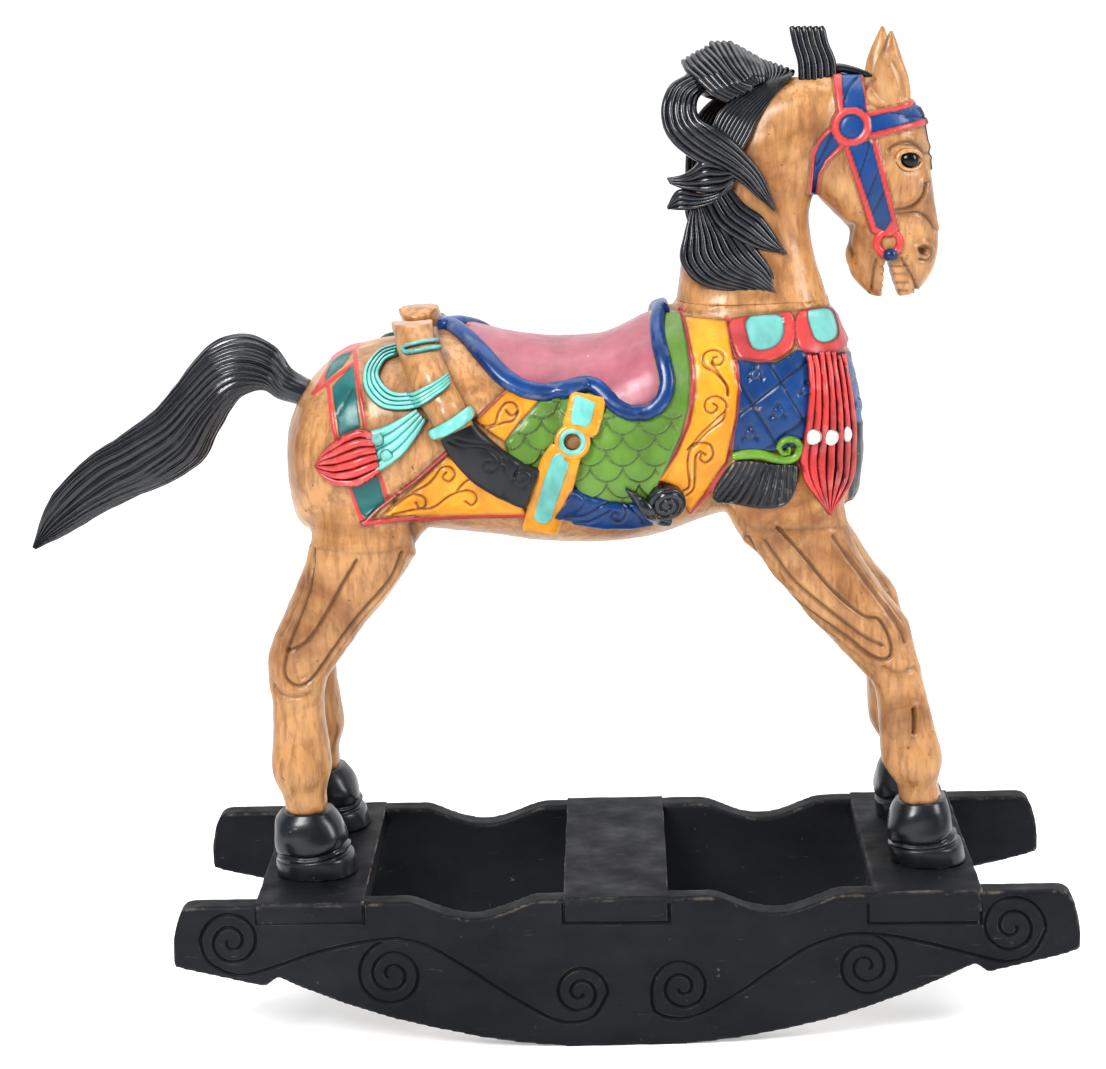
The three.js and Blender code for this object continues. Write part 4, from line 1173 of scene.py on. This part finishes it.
# Cords: a loop round the hilt, its lower collar, the rope over the rump and the cords to the tassel
HILT_LOOP = [(437, 341), (421, 343.6), (408.5, 346), (404.5, 349.6), (408.5, 353), (421.5, 351.2), (438.5, 348)]
HILT_COLLAR = [(434.5, 433), (441, 431.5), (449, 427.5), (458, 421.5), (466, 414.5), (470, 409.5)]
bands = both(laid(trim_tree, HILT_LOOP, 2.9, 4.0, 1.0, steps=10, rounds=2, sides=12))
bands += both(laid(trim_tree, HILT_COLLAR, [6.0, 7.2, 7.4, 7.4, 7.2, 5.5], 6.5, 1.5, steps=8, rounds=4,
                   sides=20, power=0.8))
bands += side_by_side(trim_tree, ROPE_OUT, ROPE_IN, 4, 1.5, [3, 3], rounds=8)
bands += side_by_side(skin_tree, CORDS_TOP, CORDS_LOW, 4, 1.1, [3, 2, 1.5, 1.5])
cords = make("cords", merge(bands))
cord_tree = tree_of(body, cords)


def dome(tree, u, v, radius, high, squash=1.0, sink=1.0):
    centre, normal = touch(tree, u, v)
    along, up = face_axes(normal)
    rings = []
    for lift, wide in ((-sink - 2, 1.0), (0.0, 1.0), (0.55, 0.98), (0.85, 0.86), (1.0, 0.6), (1.04, 0.25)):
        level = centre + normal * (lift if lift < 0 else lift * high)
        rings.append([level + radius * wide * (math.cos(a) * along * squash + math.sin(a) * up)
                      for a in circle(24)])
    return skin(rings)


cord_discs = make("cord_discs", merge([s for u, v, r in ((378, 440, 6.6), (386, 455, 6.6))
                                       for s in both(dome(cord_tree, u, v, r, 5.5))]))


rear_tassels = make("rear_tassels", merge(side_by_side(
    skin_tree, TASSEL_TOP, TASSEL_LOW, 6, 1.2, [0.5, 2, 3, 3, 2], arch=6)))
BREAST_TASSEL = ([(805.5, 353), (807.7, 382), (805.5, 421), (800, 450), (801, 473), (811, 491), (829.3, 514)],
                 [(841.8, 353), (847, 382), (852.5, 421), (853.5, 450), (852, 473), (843, 494), (830, 514)])
breast_tassels = make("breast_tassels", merge(side_by_side(
    skin_tree, *BREAST_TASSEL, 7, 1.0, [3.5, 3.5, 3.5, 2.5, 1], arch=3, rounds=14)))
tassel_tree = tree_of(body, breast_tassels)
# Painted shade in the valleys between the strands of the tassels and cords
paint_valley_shade(rear_tassels, tree=skin_tree)
paint_valley_shade(breast_tassels, tree=skin_tree, clear=0.66, deep=0.40)
for obj in (cords, cord_discs):
    paint_valley_shade(obj, tree=trim_tree, clear=0.66, deep=0.36)
studs = make("studs", merge([s for u, v, q in ((813, 437, 1.0), (831, 437.5, 0.95), (847, 434, 0.62))
                             for s in both(dome(tassel_tree, u, v, 8.3, 5.0, squash=q, sink=3.0))]))
SCABBARD_TOP = zoom(SADDLE, [(352, 690), (420, 800), (520, 900), (640, 975), (745, 1020)])
SCABBARD_LOW = zoom(SADDLE, [(890, 1085), (1000, 1120), (1110, 1140), (1220, 1145), (1330, 1130)])
scabbard = make("scabbard", merge(both(laid(
    skin_tree, SCABBARD_TOP, [19, 22, 24, 24, 23], 11, 3, steps=12, sides=48, power=0.75))))
scabbard_tip = make("scabbard_tip", merge(both(laid(
    skin_tree, SCABBARD_LOW, [21, 20, 18.5, 18, 17], 10, 2, steps=12, sides=48, power=0.75))))
SCABBARD_LINES = zoomed(
    SADDLE, [(330, 790), (400, 820), (480, 820), (545, 840), (585, 890), (560, 935), (515, 925), (510, 890),
             (545, 890)],
    [(370, 780), (450, 800), (540, 810), (600, 860), (610, 900)],
    [(600, 880), (620, 950), (660, 1010), (720, 1010), (745, 965), (715, 930), (670, 940), (660, 975),
     (690, 990), (705, 968)],
    [(900, 1165), (1000, 1160), (1080, 1110), (1140, 1080), (1190, 1100), (1205, 1150), (1175, 1190),
     (1135, 1170), (1150, 1140), (1170, 1150)],
    [(920, 1190), (1020, 1190), (1100, 1150), (1130, 1130)],
    [(1170, 1060), (1220, 1100), (1270, 1170), (1290, 1200)])


def incise(obj, lines):
    points, normals = points_of(obj)
    p = drawn(points)
    dark = np.zeros(len(points))
    height = grain(points, 15, 18, 0.2)
    for route in lines:
        near = line_distance(p, curve(route, 5))
        height = height - LEATHER_SINK * bell(near, 1.0)
        # Painted shade in the incised lines
        dark = np.maximum(dark, bell(near, 1.0))
    move_to(obj, points + normals * height[:, None])
    store(obj, "dark", dark)


def dense(obj):
    obj.modifiers.new("dense", "SUBSURF").levels = 1
    bake(obj)


for obj in (scabbard, scabbard_tip):
    dense(obj)
    incise(obj, SCABBARD_LINES)

# Curled end of the scabbard: a rounded disc with a coiled groove
curl_at, curl_normal = touch(skin_tree, 664.5, 498.5)
curl_side, curl_up = face_axes(curl_normal)
rings = []
for r in np.concatenate([[0.4], np.linspace(1.2, 20.5, 34), [21, 21]]):
    ring = []
    for a in circle(96):
        turn = r / 7.6 + a / (2 * math.pi)
        groove = bell(turn % 1 - 0.5, 0.13) * (2 < r < 20)
        high = 15 - 2.6 * groove - (7 if r > 20.8 else 3.5 * (r / 21) ** 6)
        ring.append(curl_at + curl_normal * high + r * (math.cos(a) * -curl_side + math.sin(a) * curl_up))
    rings.append(ring)
rings.append([curl_at - curl_normal * 3 + 20.5 * (math.cos(a) * -curl_side + math.sin(a) * curl_up)
              for a in circle(96)])
horn = laid(tree_of(body, scabbard_tip), [(626, 488), (635, 496), (645, 507), (656, 516), (668, 518)],
            [1.5, 5, 7.5, 8, 6], 6, 4, steps=8, rounds=8, sides=16)
curls = make("curls", merge(both(skin(rings)) + both(horn)))

strap_tree = tree_of(body, scabbard, scabbard_tip)


def flat_strap(route, wide, lift):
    return both(laid(strap_tree, zoom(SADDLE, route), wide, 6, lift, steps=10, rounds=10, sides=28,
                     power=0.45))


straps = flat_strap([(1022, 572), (1005, 640), (985, 720), (975, 760)], [19.5, 19.5, 19.5, 15], 3)
straps += flat_strap([(915, 830), (880, 910), (850, 1000), (815, 1110), (785, 1205)],
                     [17, 20.5, 21, 20.5, 19], 4)
ring_at, ring_normal = touch(strap_tree, *RING_HOLE)


def strap_ring(reach, tube, lift):
    return both(torus(ring_at + ring_normal * lift, ring_normal, *face_axes(ring_normal), reach, tube, 0.9))


straps += strap_ring(15.6, 3.6, 5.0)
straps_piece = make("straps", merge(straps))
inlay_tree = tree_of(body, straps_piece, scabbard, scabbard_tip)


def inlay(route, wide):
    return both(laid(inlay_tree, zoom(SADDLE, route), wide, 1.6, 0.2, steps=10, sides=20, rounds=8,
                     power=0.6))


inlays = inlay([(1010, 584), (1000, 610), (985, 680), (978, 714)], [11, 11.4, 11.2, 7.5])
inlays += inlay([(898, 868), (886, 885), (850, 990), (812, 1110), (797, 1165), (790, 1185)],
                [4.6, 9.4, 10, 9.6, 9.2, 5.4])
inlays += strap_ring(11.6, 2.9, 7.0)
inlay_piece = make("strap_inlays", merge(inlays))

# Green scroll above the fringe
SCROLL_LINE = zoom(BREAST, [(430, 1058), (520, 1045), (600, 1045), (680, 1065), (760, 1080), (815, 1060),
                            (838, 1010), (815, 965), (765, 958), (725, 985), (728, 1025), (765, 1030),
                            (775, 1000)])
scroll = make("green_scroll", merge(both(laid(
    skin_tree, SCROLL_LINE, [4, 5.5, 5.2, 5.2, 5.0, 4.6, 4.2, 4.0, 3.6, 3.2, 2.8, 2.4, 1.6],
    5.0, 3.0, steps=8, sides=14))))

# Stand boards, given in the row frame
STAND_MIDDLE = 79 + SHIFT[0]
BOARD_TOP, BOARD_THICK, STAND_HALF, STAND_SIDE = 166, 30, 482.5, 175
# The board's outer face lies beyond this y of the horse frame
BOARD_FACE = -188


def board_outline():
    radius, flat = 830.0, 65.0
    sink = radius - math.sqrt(radius ** 2 - flat ** 2)
    half = []
    for x in np.linspace(flat, 372, 40):
        half.append((x, radius - sink - math.sqrt(radius ** 2 - x ** 2)))
    half += [(385.5, 75), (391, 76), (470, 95), (482.5, 99.5), (482.5, 118), (482, 128), (479.5, 140),
             (476.5, 152), (472, 161), (465, 165.4), (455, 166)]
    for t in np.linspace(1, 0, 36):
        half.append((91 + 140 * t, 166 - 20 * math.sin(math.pi * t) ** 1.4))
    return half + [(-x, z) for x, z in reversed(half)]


def spiral(u, v, radius, turns, start, hand):
    out = []
    for t in np.linspace(0, 1, 60):
        a = start + hand * turns * 2 * math.pi * t
        r = radius * (1 - 0.86 * t)
        out.append((u + r * math.cos(a), v + 0.97 * r * math.sin(a)))
    return out


# Incised scrolls and panel lines on the boards' outer faces
SCROLL_WORK = [
    spiral(231, 942, 31, 2.0, math.pi, 1), spiral(392, 975, 35, 2.3, -1.9, -1),
    spiral(580, 993, 28, 1.9, 0, -1),
    spiral(682, 988, 30, 1.9, math.pi, 1), spiral(866, 967, 33, 2.3, -1.25, 1),
    spiral(1012, 927, 34, 2.0, 0, -1),
    [(200, 940), (208, 962), (237, 976), (267, 970), (307, 956), (350, 945), (392, 939), (405, 940),
     (430, 947), (466, 968), (497, 988), (527, 1006), (552, 1019), (573, 1023), (594, 1017), (608, 993)],
    [(652, 986), (655, 1012), (681, 1019), (706, 1012), (745, 989), (777, 967), (810, 947), (842, 936),
     (865, 934), (897, 937), (939, 946), (974, 955), (1007, 962), (1032, 954), (1046, 930)],
] + [[(u, 905), (u + 0.3, 914), (u + 0.5, 924)] for u in (256, 363, 563, 669, 868, 981)
     ] + [[(u, 924), (u + 53, 923.5), (u + 106, 923)] for u in (257, 563, 870)]
outline = board_outline()
near_y = -STAND_SIDE
near = make("board", skin([[(x + STAND_MIDDLE, y, z) for x, z in outline]
                           for y in (near_y, near_y + BOARD_THICK)], caps=False), stand=True)
close(near)
fuse(near, BOARD_VOXEL, 2)
near.name = "rocker_board_right"
far = near.copy()
far.data = near.data.copy()
far.name = "rocker_board_left"
bpy.context.collection.objects.link(far)
for reach in (5.0, 2.8):
    refine(near, lambda m, reach=reach: (m[:, 1] < BOARD_FACE)
           & (to_lines(drawn(m), SCROLL_WORK, 3) < reach))


def carve_board(obj):
    points, normals = points_of(obj, stand=True)
    face = smooth((-normals[:, 1] - 0.6) / 0.3)
    p = drawn(points - SHIFT)
    lines = to_lines(p, SCROLL_WORK, 3)
    groove = bell(lines, 1.15) * face
    lip = bell(lines - 2.6, 1.0) * face
    wear = grain(points, 21, 70, 0.4) + grain(points, 22, 22, 0.15)
    points = points + normals * (wear - 2.4 * groove)[:, None]
    points[:, 1] = np.clip(points[:, 1], near_y, near_y + BOARD_THICK - 0.2)
    points[:, 1] += 0.6 * face * (1 - lip)
    points[:, 0] = np.clip(points[:, 0], STAND_MIDDLE - STAND_HALF, STAND_MIDDLE + STAND_HALF)
    points[:, 2] = np.clip(points[:, 2], 0, BOARD_TOP + 0.2)
    # Painted shade in the incised grooves
    store(obj, "dark", groove)
    return points


move_to(near, carve_board(near), stand=True)
move_to(far, carve_board(far) * [1, -1, 1], stand=True)
far.data.flip_normals()


def plank(name, node):
    low, high = (np.array(c) * 1000 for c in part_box(node))
    mesh = make(name, skin([[(low[0], low[1], z), (high[0], low[1], z), (high[0], high[1], z),
                             (low[0], high[1], z)] for z in (low[2], high[2])], caps=False), stand=True)
    close(mesh)
    fuse(mesh, PLANK_VOXEL, 2)
    points, normals = points_of(mesh, stand=True)
    wear = grain(points, len(name), 45, 0.35) + grain(points, 5, 16, 0.12) - 0.3
    points = points + normals * wear[:, None]
    move_to(mesh, np.clip(points, low, high + [0, 0, 0.4]), stand=True)
    return mesh


PLANK_NODES = ("rear_platform", "middle_footboard", "front_platform")
planks = {node: plank(node + "_board", node) for node in PLANK_NODES}


# Materials
class Nodes:
    """Small helper around one material's node tree."""

    def __init__(self, name):
        self.material = bpy.data.materials.new(name)
        self.material.use_nodes = True
        self.tree = self.material.node_tree
        self.shader = self.tree.nodes["Principled BSDF"]

    def add(self, kind, **settings):
        node = self.tree.nodes.new("ShaderNode" + kind)
        for key, value in settings.items():
            setattr(node, key, value)
        return node

    def link(self, a, b):
        self.tree.links.new(a, b)

    def set(self, name, value):
        self.shader.inputs[name].default_value = value

    def place(self):
        if not hasattr(self, "_place"):
            self._place = self.add("TexCoord").outputs["Object"]
        return self._place

    def noise(self, scale, detail=3.0, rough=0.55, stretch=None, warp=0.0):
        node = self.add("TexNoise")
        node.inputs["Scale"].default_value = scale
        node.inputs["Detail"].default_value = detail
        node.inputs["Roughness"].default_value = rough
        node.inputs["Distortion"].default_value = warp
        source = self.place()
        if stretch:
            mapping = self.add("Mapping")
            mapping.inputs["Scale"].default_value = stretch
            self.link(source, mapping.inputs["Vector"])
            source = mapping.outputs["Vector"]
        self.link(source, node.inputs["Vector"])
        return node.outputs["Fac"]

    def ramp(self, source, *stops):
        node = self.add("ValToRGB")
        elements = node.color_ramp.elements
        while len(elements) < len(stops):
            elements.new(0.5)
        for element, (at, colour) in zip(elements, stops):
            element.position = at
            if isinstance(colour, (int, float)):
                colour = (colour, colour, colour)
            element.color = (*colour, 1)
        self.link(source, node.inputs["Fac"])
        return node.outputs["Color"]

    def mix(self, factor, a, b, mode="MIX"):
        node = self.add("MixRGB", blend_type=mode)
        for socket, value in zip(node.inputs, (factor, a, b)):
            if isinstance(value, bpy.types.NodeSocket):
                self.link(value, socket)
            elif isinstance(value, (int, float)):
                socket.default_value = value
            else:
                socket.default_value = (*value, 1)
        return node.outputs["Color"]

    def math(self, kind, a, b=0.0):
        node = self.add("Math", operation=kind, use_clamp=True)
        for socket, value in zip(node.inputs, (a, b)):
            if isinstance(value, bpy.types.NodeSocket):
                self.link(value, socket)
            else:
                socket.default_value = value
        return node.outputs["Value"]

    def times(self, a, b):
        return self.math("MULTIPLY", a, b)

    def kept(self, name):
        return self.add("Attribute", attribute_name=name).outputs["Fac"]

    def inside(self, name, soft=0.8):
        node = self.add("MapRange", clamp=True)
        node.inputs["From Min"].default_value = soft / 2
        node.inputs["From Max"].default_value = -soft / 2
        self.link(self.kept(name), node.inputs["Value"])
        return node.outputs["Result"]

    def bump(self, source, strength, distance=0.0006):
        node = self.add("Bump")
        node.inputs["Strength"].default_value = strength
        node.inputs["Distance"].default_value = distance
        self.link(source, node.inputs["Height"])
        self.link(node.outputs["Normal"], self.shader.inputs["Normal"])

    def pointed(self, *stops):
        """Ramp over how sharp an edge (above 0.5) or a hollow (below 0.5) is."""
        return self.ramp(self.add("NewGeometry").outputs["Pointiness"], *stops)

    def surface(self, colour, rough, coat, coat_rough=0.03, specular=0.5):
        """Sets the shader from sockets or plain values."""
        for name, value in (("Base Color", colour), ("Roughness", rough), ("Coat Weight", coat),
                            ("Coat Roughness", coat_rough), ("Specular IOR Level", specular)):
            if isinstance(value, bpy.types.NodeSocket):
                self.link(value, self.shader.inputs[name])
            else:
                self.set(name, value)


WOOD_DARK, WOOD_MID, WOOD_LIGHT = (0.13, 0.052, 0.018), (0.25, 0.105, 0.035), (0.50, 0.26, 0.105)
PAINTS = {
    "a_green": (0.105, 0.215, 0.03), "b_pink": (0.33, 0.095, 0.125), "c_yellow": (0.71, 0.28, 0.010),
    "d_blue": (0.001, 0.042, 0.165), "e_coral": (0.45, 0.045, 0.045), "f_blue": (0.001, 0.038, 0.155),
    "f_teal": (0.006, 0.11, 0.11), "g_turquoise": (0.15, 0.43, 0.40), "h_black": (0.012, 0.014, 0.018),
}


def wood_colour(n, along):
    stretch = {"x": (0.22, 1, 1), "z": (1, 1, 0.22)}[along]
    broad = n.noise(9, 5, 0.62, warp=0.9)
    fine = n.noise(150, 5, 0.65, stretch)
    streak = n.noise(52, 4, 0.6, stretch, warp=0.5)
    base = n.ramp(broad, (0.36, WOOD_MID), (0.57, WOOD_LIGHT))
    base = n.mix(n.ramp(streak, (0.50, 0.0), (0.72, 0.45)), base, WOOD_DARK)
    base = n.mix(n.ramp(fine, (0.46, 0.0), (0.66, 0.6)), base, (0.17, 0.07, 0.025))
    pale = n.ramp(n.noise(12, 3, 0.5), (0.56, 0.0), (0.70, 0.55))
    spots = n.ramp(n.noise(150, 2, 0.5), (0.715, 0.0), (0.75, 0.75))
    base = n.mix(pale, base, (0.60, 0.35, 0.16))
    return n.mix(spots, base, (0.09, 0.035, 0.012)), fine


def painted(n, colour, seed):
    """Brushed paint with broad value changes."""
    dim = tuple(c * 0.74 for c in colour)
    lit = tuple(min(1.0, c * 1.16 + 0.002) for c in colour)
    return n.ramp(n.noise(16 + seed, 4, 0.6, (1, 1, 0.5)), (0.36, dim), (0.62, lit))


def carved(name, layers, along):
    n = Nodes(name)
    colour, fine = wood_colour(n, along)
    worn = n.ramp(n.noise(60, 6, 0.7), (0.66, 0.0), (0.70, 0.8))
    edge = n.times(n.pointed((0.53, 0.0), (0.60, 1.0)), n.ramp(n.noise(45, 4, 0.6), (0.45, 0.0), (0.62, 0.8)))
    cover = None
    for k, layer in enumerate(layers):
        here = n.inside(layer)
        colour = n.mix(here, colour, painted(n, PAINTS[layer], k))
        cover = here if cover is None else n.math("MAXIMUM", cover, here)
    chip = n.times(n.math("MAXIMUM", n.times(worn, 0.35), edge), cover)
    colour = n.mix(chip, colour, (0.80, 0.60, 0.46))
    # Painted shade on the stored dark marks: grooves, steps, valleys, hollows and halos; the neck seam's dark
    # line is its joint
    hollow = n.times(n.kept("dark"), 0.88)
    deeper_shade = n.mix(1.0, colour, (0.16, 0.12, 0.10), "MULTIPLY")
    shade = n.mix(cover, (0.10, 0.042, 0.015), deeper_shade)
    colour = n.mix(hollow, colour, shade)
    # Painted shade in hollows, by how sunken the surface is
    recess_shade = n.pointed((0.42, 0.75), (0.49, 0.0))
    sunk_shade = n.mix(cover, (0.10, 0.045, 0.018), n.mix(1.0, colour, (0.22, 0.18, 0.16), "MULTIPLY"))
    colour = n.mix(n.times(recess_shade, 0.8), colour, sunk_shade)
    n.surface(colour, n.ramp(n.noise(30, 3), (0.3, 0.30), (0.7, 0.46)), 0.25, 0.22, 0.4)
    n.bump(n.mix(0.5, fine, n.noise(160, 4)), 0.6)
    return n.material


def plain_paint(name, colour, rough, coat, chips, chip):
    """Glossy paint, thin at the edges, with painted shade in the hollows and on the stored dark marks."""
    n = Nodes(name)
    streaks = (1, 1, 0.4)
    tone = n.ramp(n.noise(22, 4, 0.6, streaks), (0.35, tuple(c * 0.6 for c in colour)),
                  (0.65, tuple(min(1, c * 1.3 + 0.003) for c in colour)))
    patch = n.ramp(n.noise(48, 5, 0.65), (0.50, 0.0), (0.64, 1.0))
    tone = n.mix(n.times(n.times(n.pointed((0.52, 0.0), (0.60, 1.0)), patch), chips), tone, chip)
    spots = n.ramp(n.noise(95, 4, 0.6), (0.70, 0.0), (0.74, 1.0))
    tone = n.mix(n.times(spots, chips * 0.7), tone, chip)
    # Painted shade in hollows
    recess_shade = n.pointed((0.40, 0.9), (0.48, 0.0))
    tone = n.mix(recess_shade, tone, tuple(c * 0.12 for c in colour))
    # Painted shade on the stored dark marks: strand valleys, furrows and incised lines
    tone = n.mix(n.times(n.kept("dark"), 0.85), tone, tuple(c * 0.1 for c in colour))
    n.surface(tone, n.ramp(n.noise(34, 4), (0.3, rough[0]), (0.7, rough[1])), coat, 0.18, 0.4)
    n.bump(n.mix(0.5, n.noise(55, 4, 0.6, streaks), n.noise(210, 3)), 0.4)
    return n.material


def stand_paint(name):
    n = Nodes(name)
    base = n.ramp(n.noise(9, 5, 0.65, (0.5, 1, 1)), (0.35, (0.004, 0.005, 0.007)),
                  (0.68, (0.012, 0.014, 0.018)))
    scratch = n.ramp(n.noise(150, 3, 0.7, (0.12, 1, 1.6), warp=0.4), (0.69, 0.0), (0.76, 0.6))
    spots = n.ramp(n.noise(70, 6, 0.75), (0.66, 0.0), (0.71, 0.65))
    edge = n.times(n.pointed((0.53, 0.0), (0.60, 1.0)), n.ramp(n.noise(38, 5, 0.7), (0.50, 0.0), (0.68, 1.0)))
    edge = n.times(edge, n.ramp(n.kept("dark"), (0.0, 1.0), (0.08, 0.0)))
    base = n.mix(n.math("MAXIMUM", n.times(scratch, 0.5), n.times(spots, 0.55)), base,
                 (0.28, 0.24, 0.20))
    base = n.mix(n.times(edge, 0.9), base, (0.50, 0.40, 0.30))
    # Painted shade in the boards' incised scrolls
    base = n.mix(n.times(n.kept("dark"), 0.9), base, (0.002, 0.002, 0.002))
    n.surface(base, n.ramp(n.noise(26, 5, 0.6), (0.3, 0.42), (0.7, 0.70)), 0.0, 0.3, 0.22)
    n.bump(n.mix(0.5, n.noise(80, 5, 0.7, (0.2, 1, 1)), n.noise(240, 3)), 0.5)
    return n.material


wood_body = carved("carved_body", ["a_green", "b_pink", "d_blue", "e_coral", "c_yellow", "f_teal",
                                   "g_turquoise", "h_black"], "z")
wood_head = carved("carved_head", ["e_coral", "f_blue", "h_black"], "z")
black = plain_paint("black_lacquer", (0.0105, 0.013, 0.019), (0.16, 0.34), 0.5, 0.12, (0.42, 0.37, 0.33))
hoof_black = plain_paint("hoof_black", (0.007, 0.010, 0.014), (0.24, 0.42), 0.25, 0.4, (0.42, 0.42, 0.44))
blue = plain_paint("royal_blue", (0.001, 0.036, 0.15), (0.22, 0.40), 0.15, 0.6, (0.72, 0.72, 0.76))
coral = plain_paint("coral", (0.60, 0.05, 0.05), (0.25, 0.42), 0.3, 0.4, (0.85, 0.55, 0.50))
turquoise = plain_paint("turquoise", (0.15, 0.47, 0.42), (0.28, 0.46), 0.25, 0.35, (0.9, 0.85, 0.75))
yellow = plain_paint("yellow", (0.68, 0.28, 0.015), (0.25, 0.42), 0.35, 0.35, (0.92, 0.72, 0.45))
green = plain_paint("green", (0.12, 0.26, 0.02), (0.25, 0.4), 0.4, 0.3, (0.5, 0.6, 0.3))
white = plain_paint("white", (0.80, 0.79, 0.75), (0.2, 0.3), 0.5, 0.3, (0.5, 0.45, 0.4))
eye_black = plain_paint("eye_black", (0.002, 0.002, 0.002), (0.16, 0.24), 0.0, 0.0, (0.80, 0.72, 0.62))
satin_black = plain_paint("satin_black", (0.010, 0.012, 0.016), (0.34, 0.50), 0.12, 0.2, (0.42, 0.37, 0.33))
stand_black = stand_paint("stand_black")
hilt_nodes = Nodes("hilt_wood")
hilt_colour, hilt_fine = wood_colour(hilt_nodes, "z")
# Painted shade in the hilt's hollows
hilt_recess_shade = hilt_nodes.pointed((0.42, 0.8), (0.49, 0.0))
hilt_nodes.surface(hilt_nodes.mix(hilt_recess_shade, hilt_colour, (0.10, 0.045, 0.018)), 0.38, 0.3)
hilt_nodes.bump(hilt_fine, 0.4)

FINISH = {
    body: wood_body, head: wood_head, eyes: eye_black, eyelids: hilt_nodes.material, bit_ring: coral,
    bit_ball: blue,
    hind_hooves: hoof_black, fore_hooves: hoof_black, tail: black, mane_near: black, mane_far: black,
    crest: black, forelock: black, seat_roll: blue, hilts: hilt_nodes.material, cords: turquoise,
    cord_discs: turquoise, rear_tassels: coral, breast_tassels: coral, studs: white, scabbard: satin_black,
    scabbard_tip: blue, curls: black, straps_piece: yellow, inlay_piece: turquoise, scroll: green,
    near: stand_black, far: stand_black, **{obj: stand_black for obj in planks.values()},
}
for obj, material in FINISH.items():
    obj.data.materials.clear()
    obj.data.materials.append(material)
    if "dark" not in obj.data.attributes:
        store(obj, "dark", np.zeros(len(obj.data.vertices)))
    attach(obj, "root")

LEGS = ("hind_leg_right", "hind_leg_left", "foreleg_right", "foreleg_left")
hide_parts("body", *LEGS)
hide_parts("head_and_neck")
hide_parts("tail")
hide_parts("rocker_right")
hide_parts("rocker_left")
for node, obj in planks.items():
    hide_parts(node)

# Floor, soft studio light and camera
FLOOR_GLOW, BACKDROP_GLOW, SKY_GLOW = 0.34, 1.0, 0.28


def screen(name, size, grey, rough, glow, at=(0, 0, 0), turn=(0, 0, 0)):
    """Large plane in one pale colour that glows a little."""
    bpy.ops.mesh.primitive_plane_add(size=size, location=at, rotation=turn)
    obj = bpy.context.active_object
    obj.name = name
    n = Nodes(name + "_white")
    n.surface((grey, grey, grey, 1), rough, 0.0)
    n.set("Emission Color", (1, 1, 1, 1))
    n.set("Emission Strength", glow)
    obj.data.materials.append(n.material)
    return obj


floor = screen("floor", 60, 0.80, 0.9, FLOOR_GLOW)
backdrop = screen("backdrop", 44, 0.0, 0.5, BACKDROP_GLOW, (0, 4.8, 0), (math.pi / 2, 0, 0))
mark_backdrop(floor, backdrop)
world = bpy.data.worlds.new("studio")
bpy.context.scene.world = world
bpy.context.scene.view_settings.view_transform = "Standard"
bpy.context.scene.view_settings.look = "Medium High Contrast"
world.use_nodes = True
world.node_tree.nodes["Background"].inputs["Color"].default_value = (1, 1, 1, 1)
world.node_tree.nodes["Background"].inputs["Strength"].default_value = SKY_GLOW


def lamp(name, at, aim, size, power):
    data = bpy.data.lights.new(name, "AREA")
    data.shape = "RECTANGLE"
    data.size, data.size_y = size
    data.energy = power
    obj = bpy.data.objects.new(name, data)
    bpy.context.collection.objects.link(obj)
    obj.location = at
    obj.rotation_euler = (Vector(aim) - Vector(at)).to_track_quat("-Z", "Y").to_euler()


lamp("key", (-1.2, -2.6, 2.6), (0, 0, 0.6), (1.2, 1.2), 105)
lamp("side", (2.6, -1.2, 1.8), (0.1, 0, 0.6), (0.8, 1.6), 44)
lamp("top", (0.0, 0.2, 3.0), (0, 0, 0.6), (2.4, 1.6), 30)

FRAME_WIDTH, SENSOR = 1106, 36
lens = bpy.data.cameras.new("camera")
lens.sensor_width = SENSOR
lens.lens = FOCAL / FRAME_WIDTH * SENSOR
camera = bpy.data.objects.new("camera", lens)
bpy.context.collection.objects.link(camera)
camera_rows = np.c_[RIGHT, UP, -AIM, (EYE + SHIFT) / 1000]
camera.matrix_world = Matrix([*camera_rows.tolist(), [0, 0, 0, 1]])
bpy.context.scene.camera = camera

low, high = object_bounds()
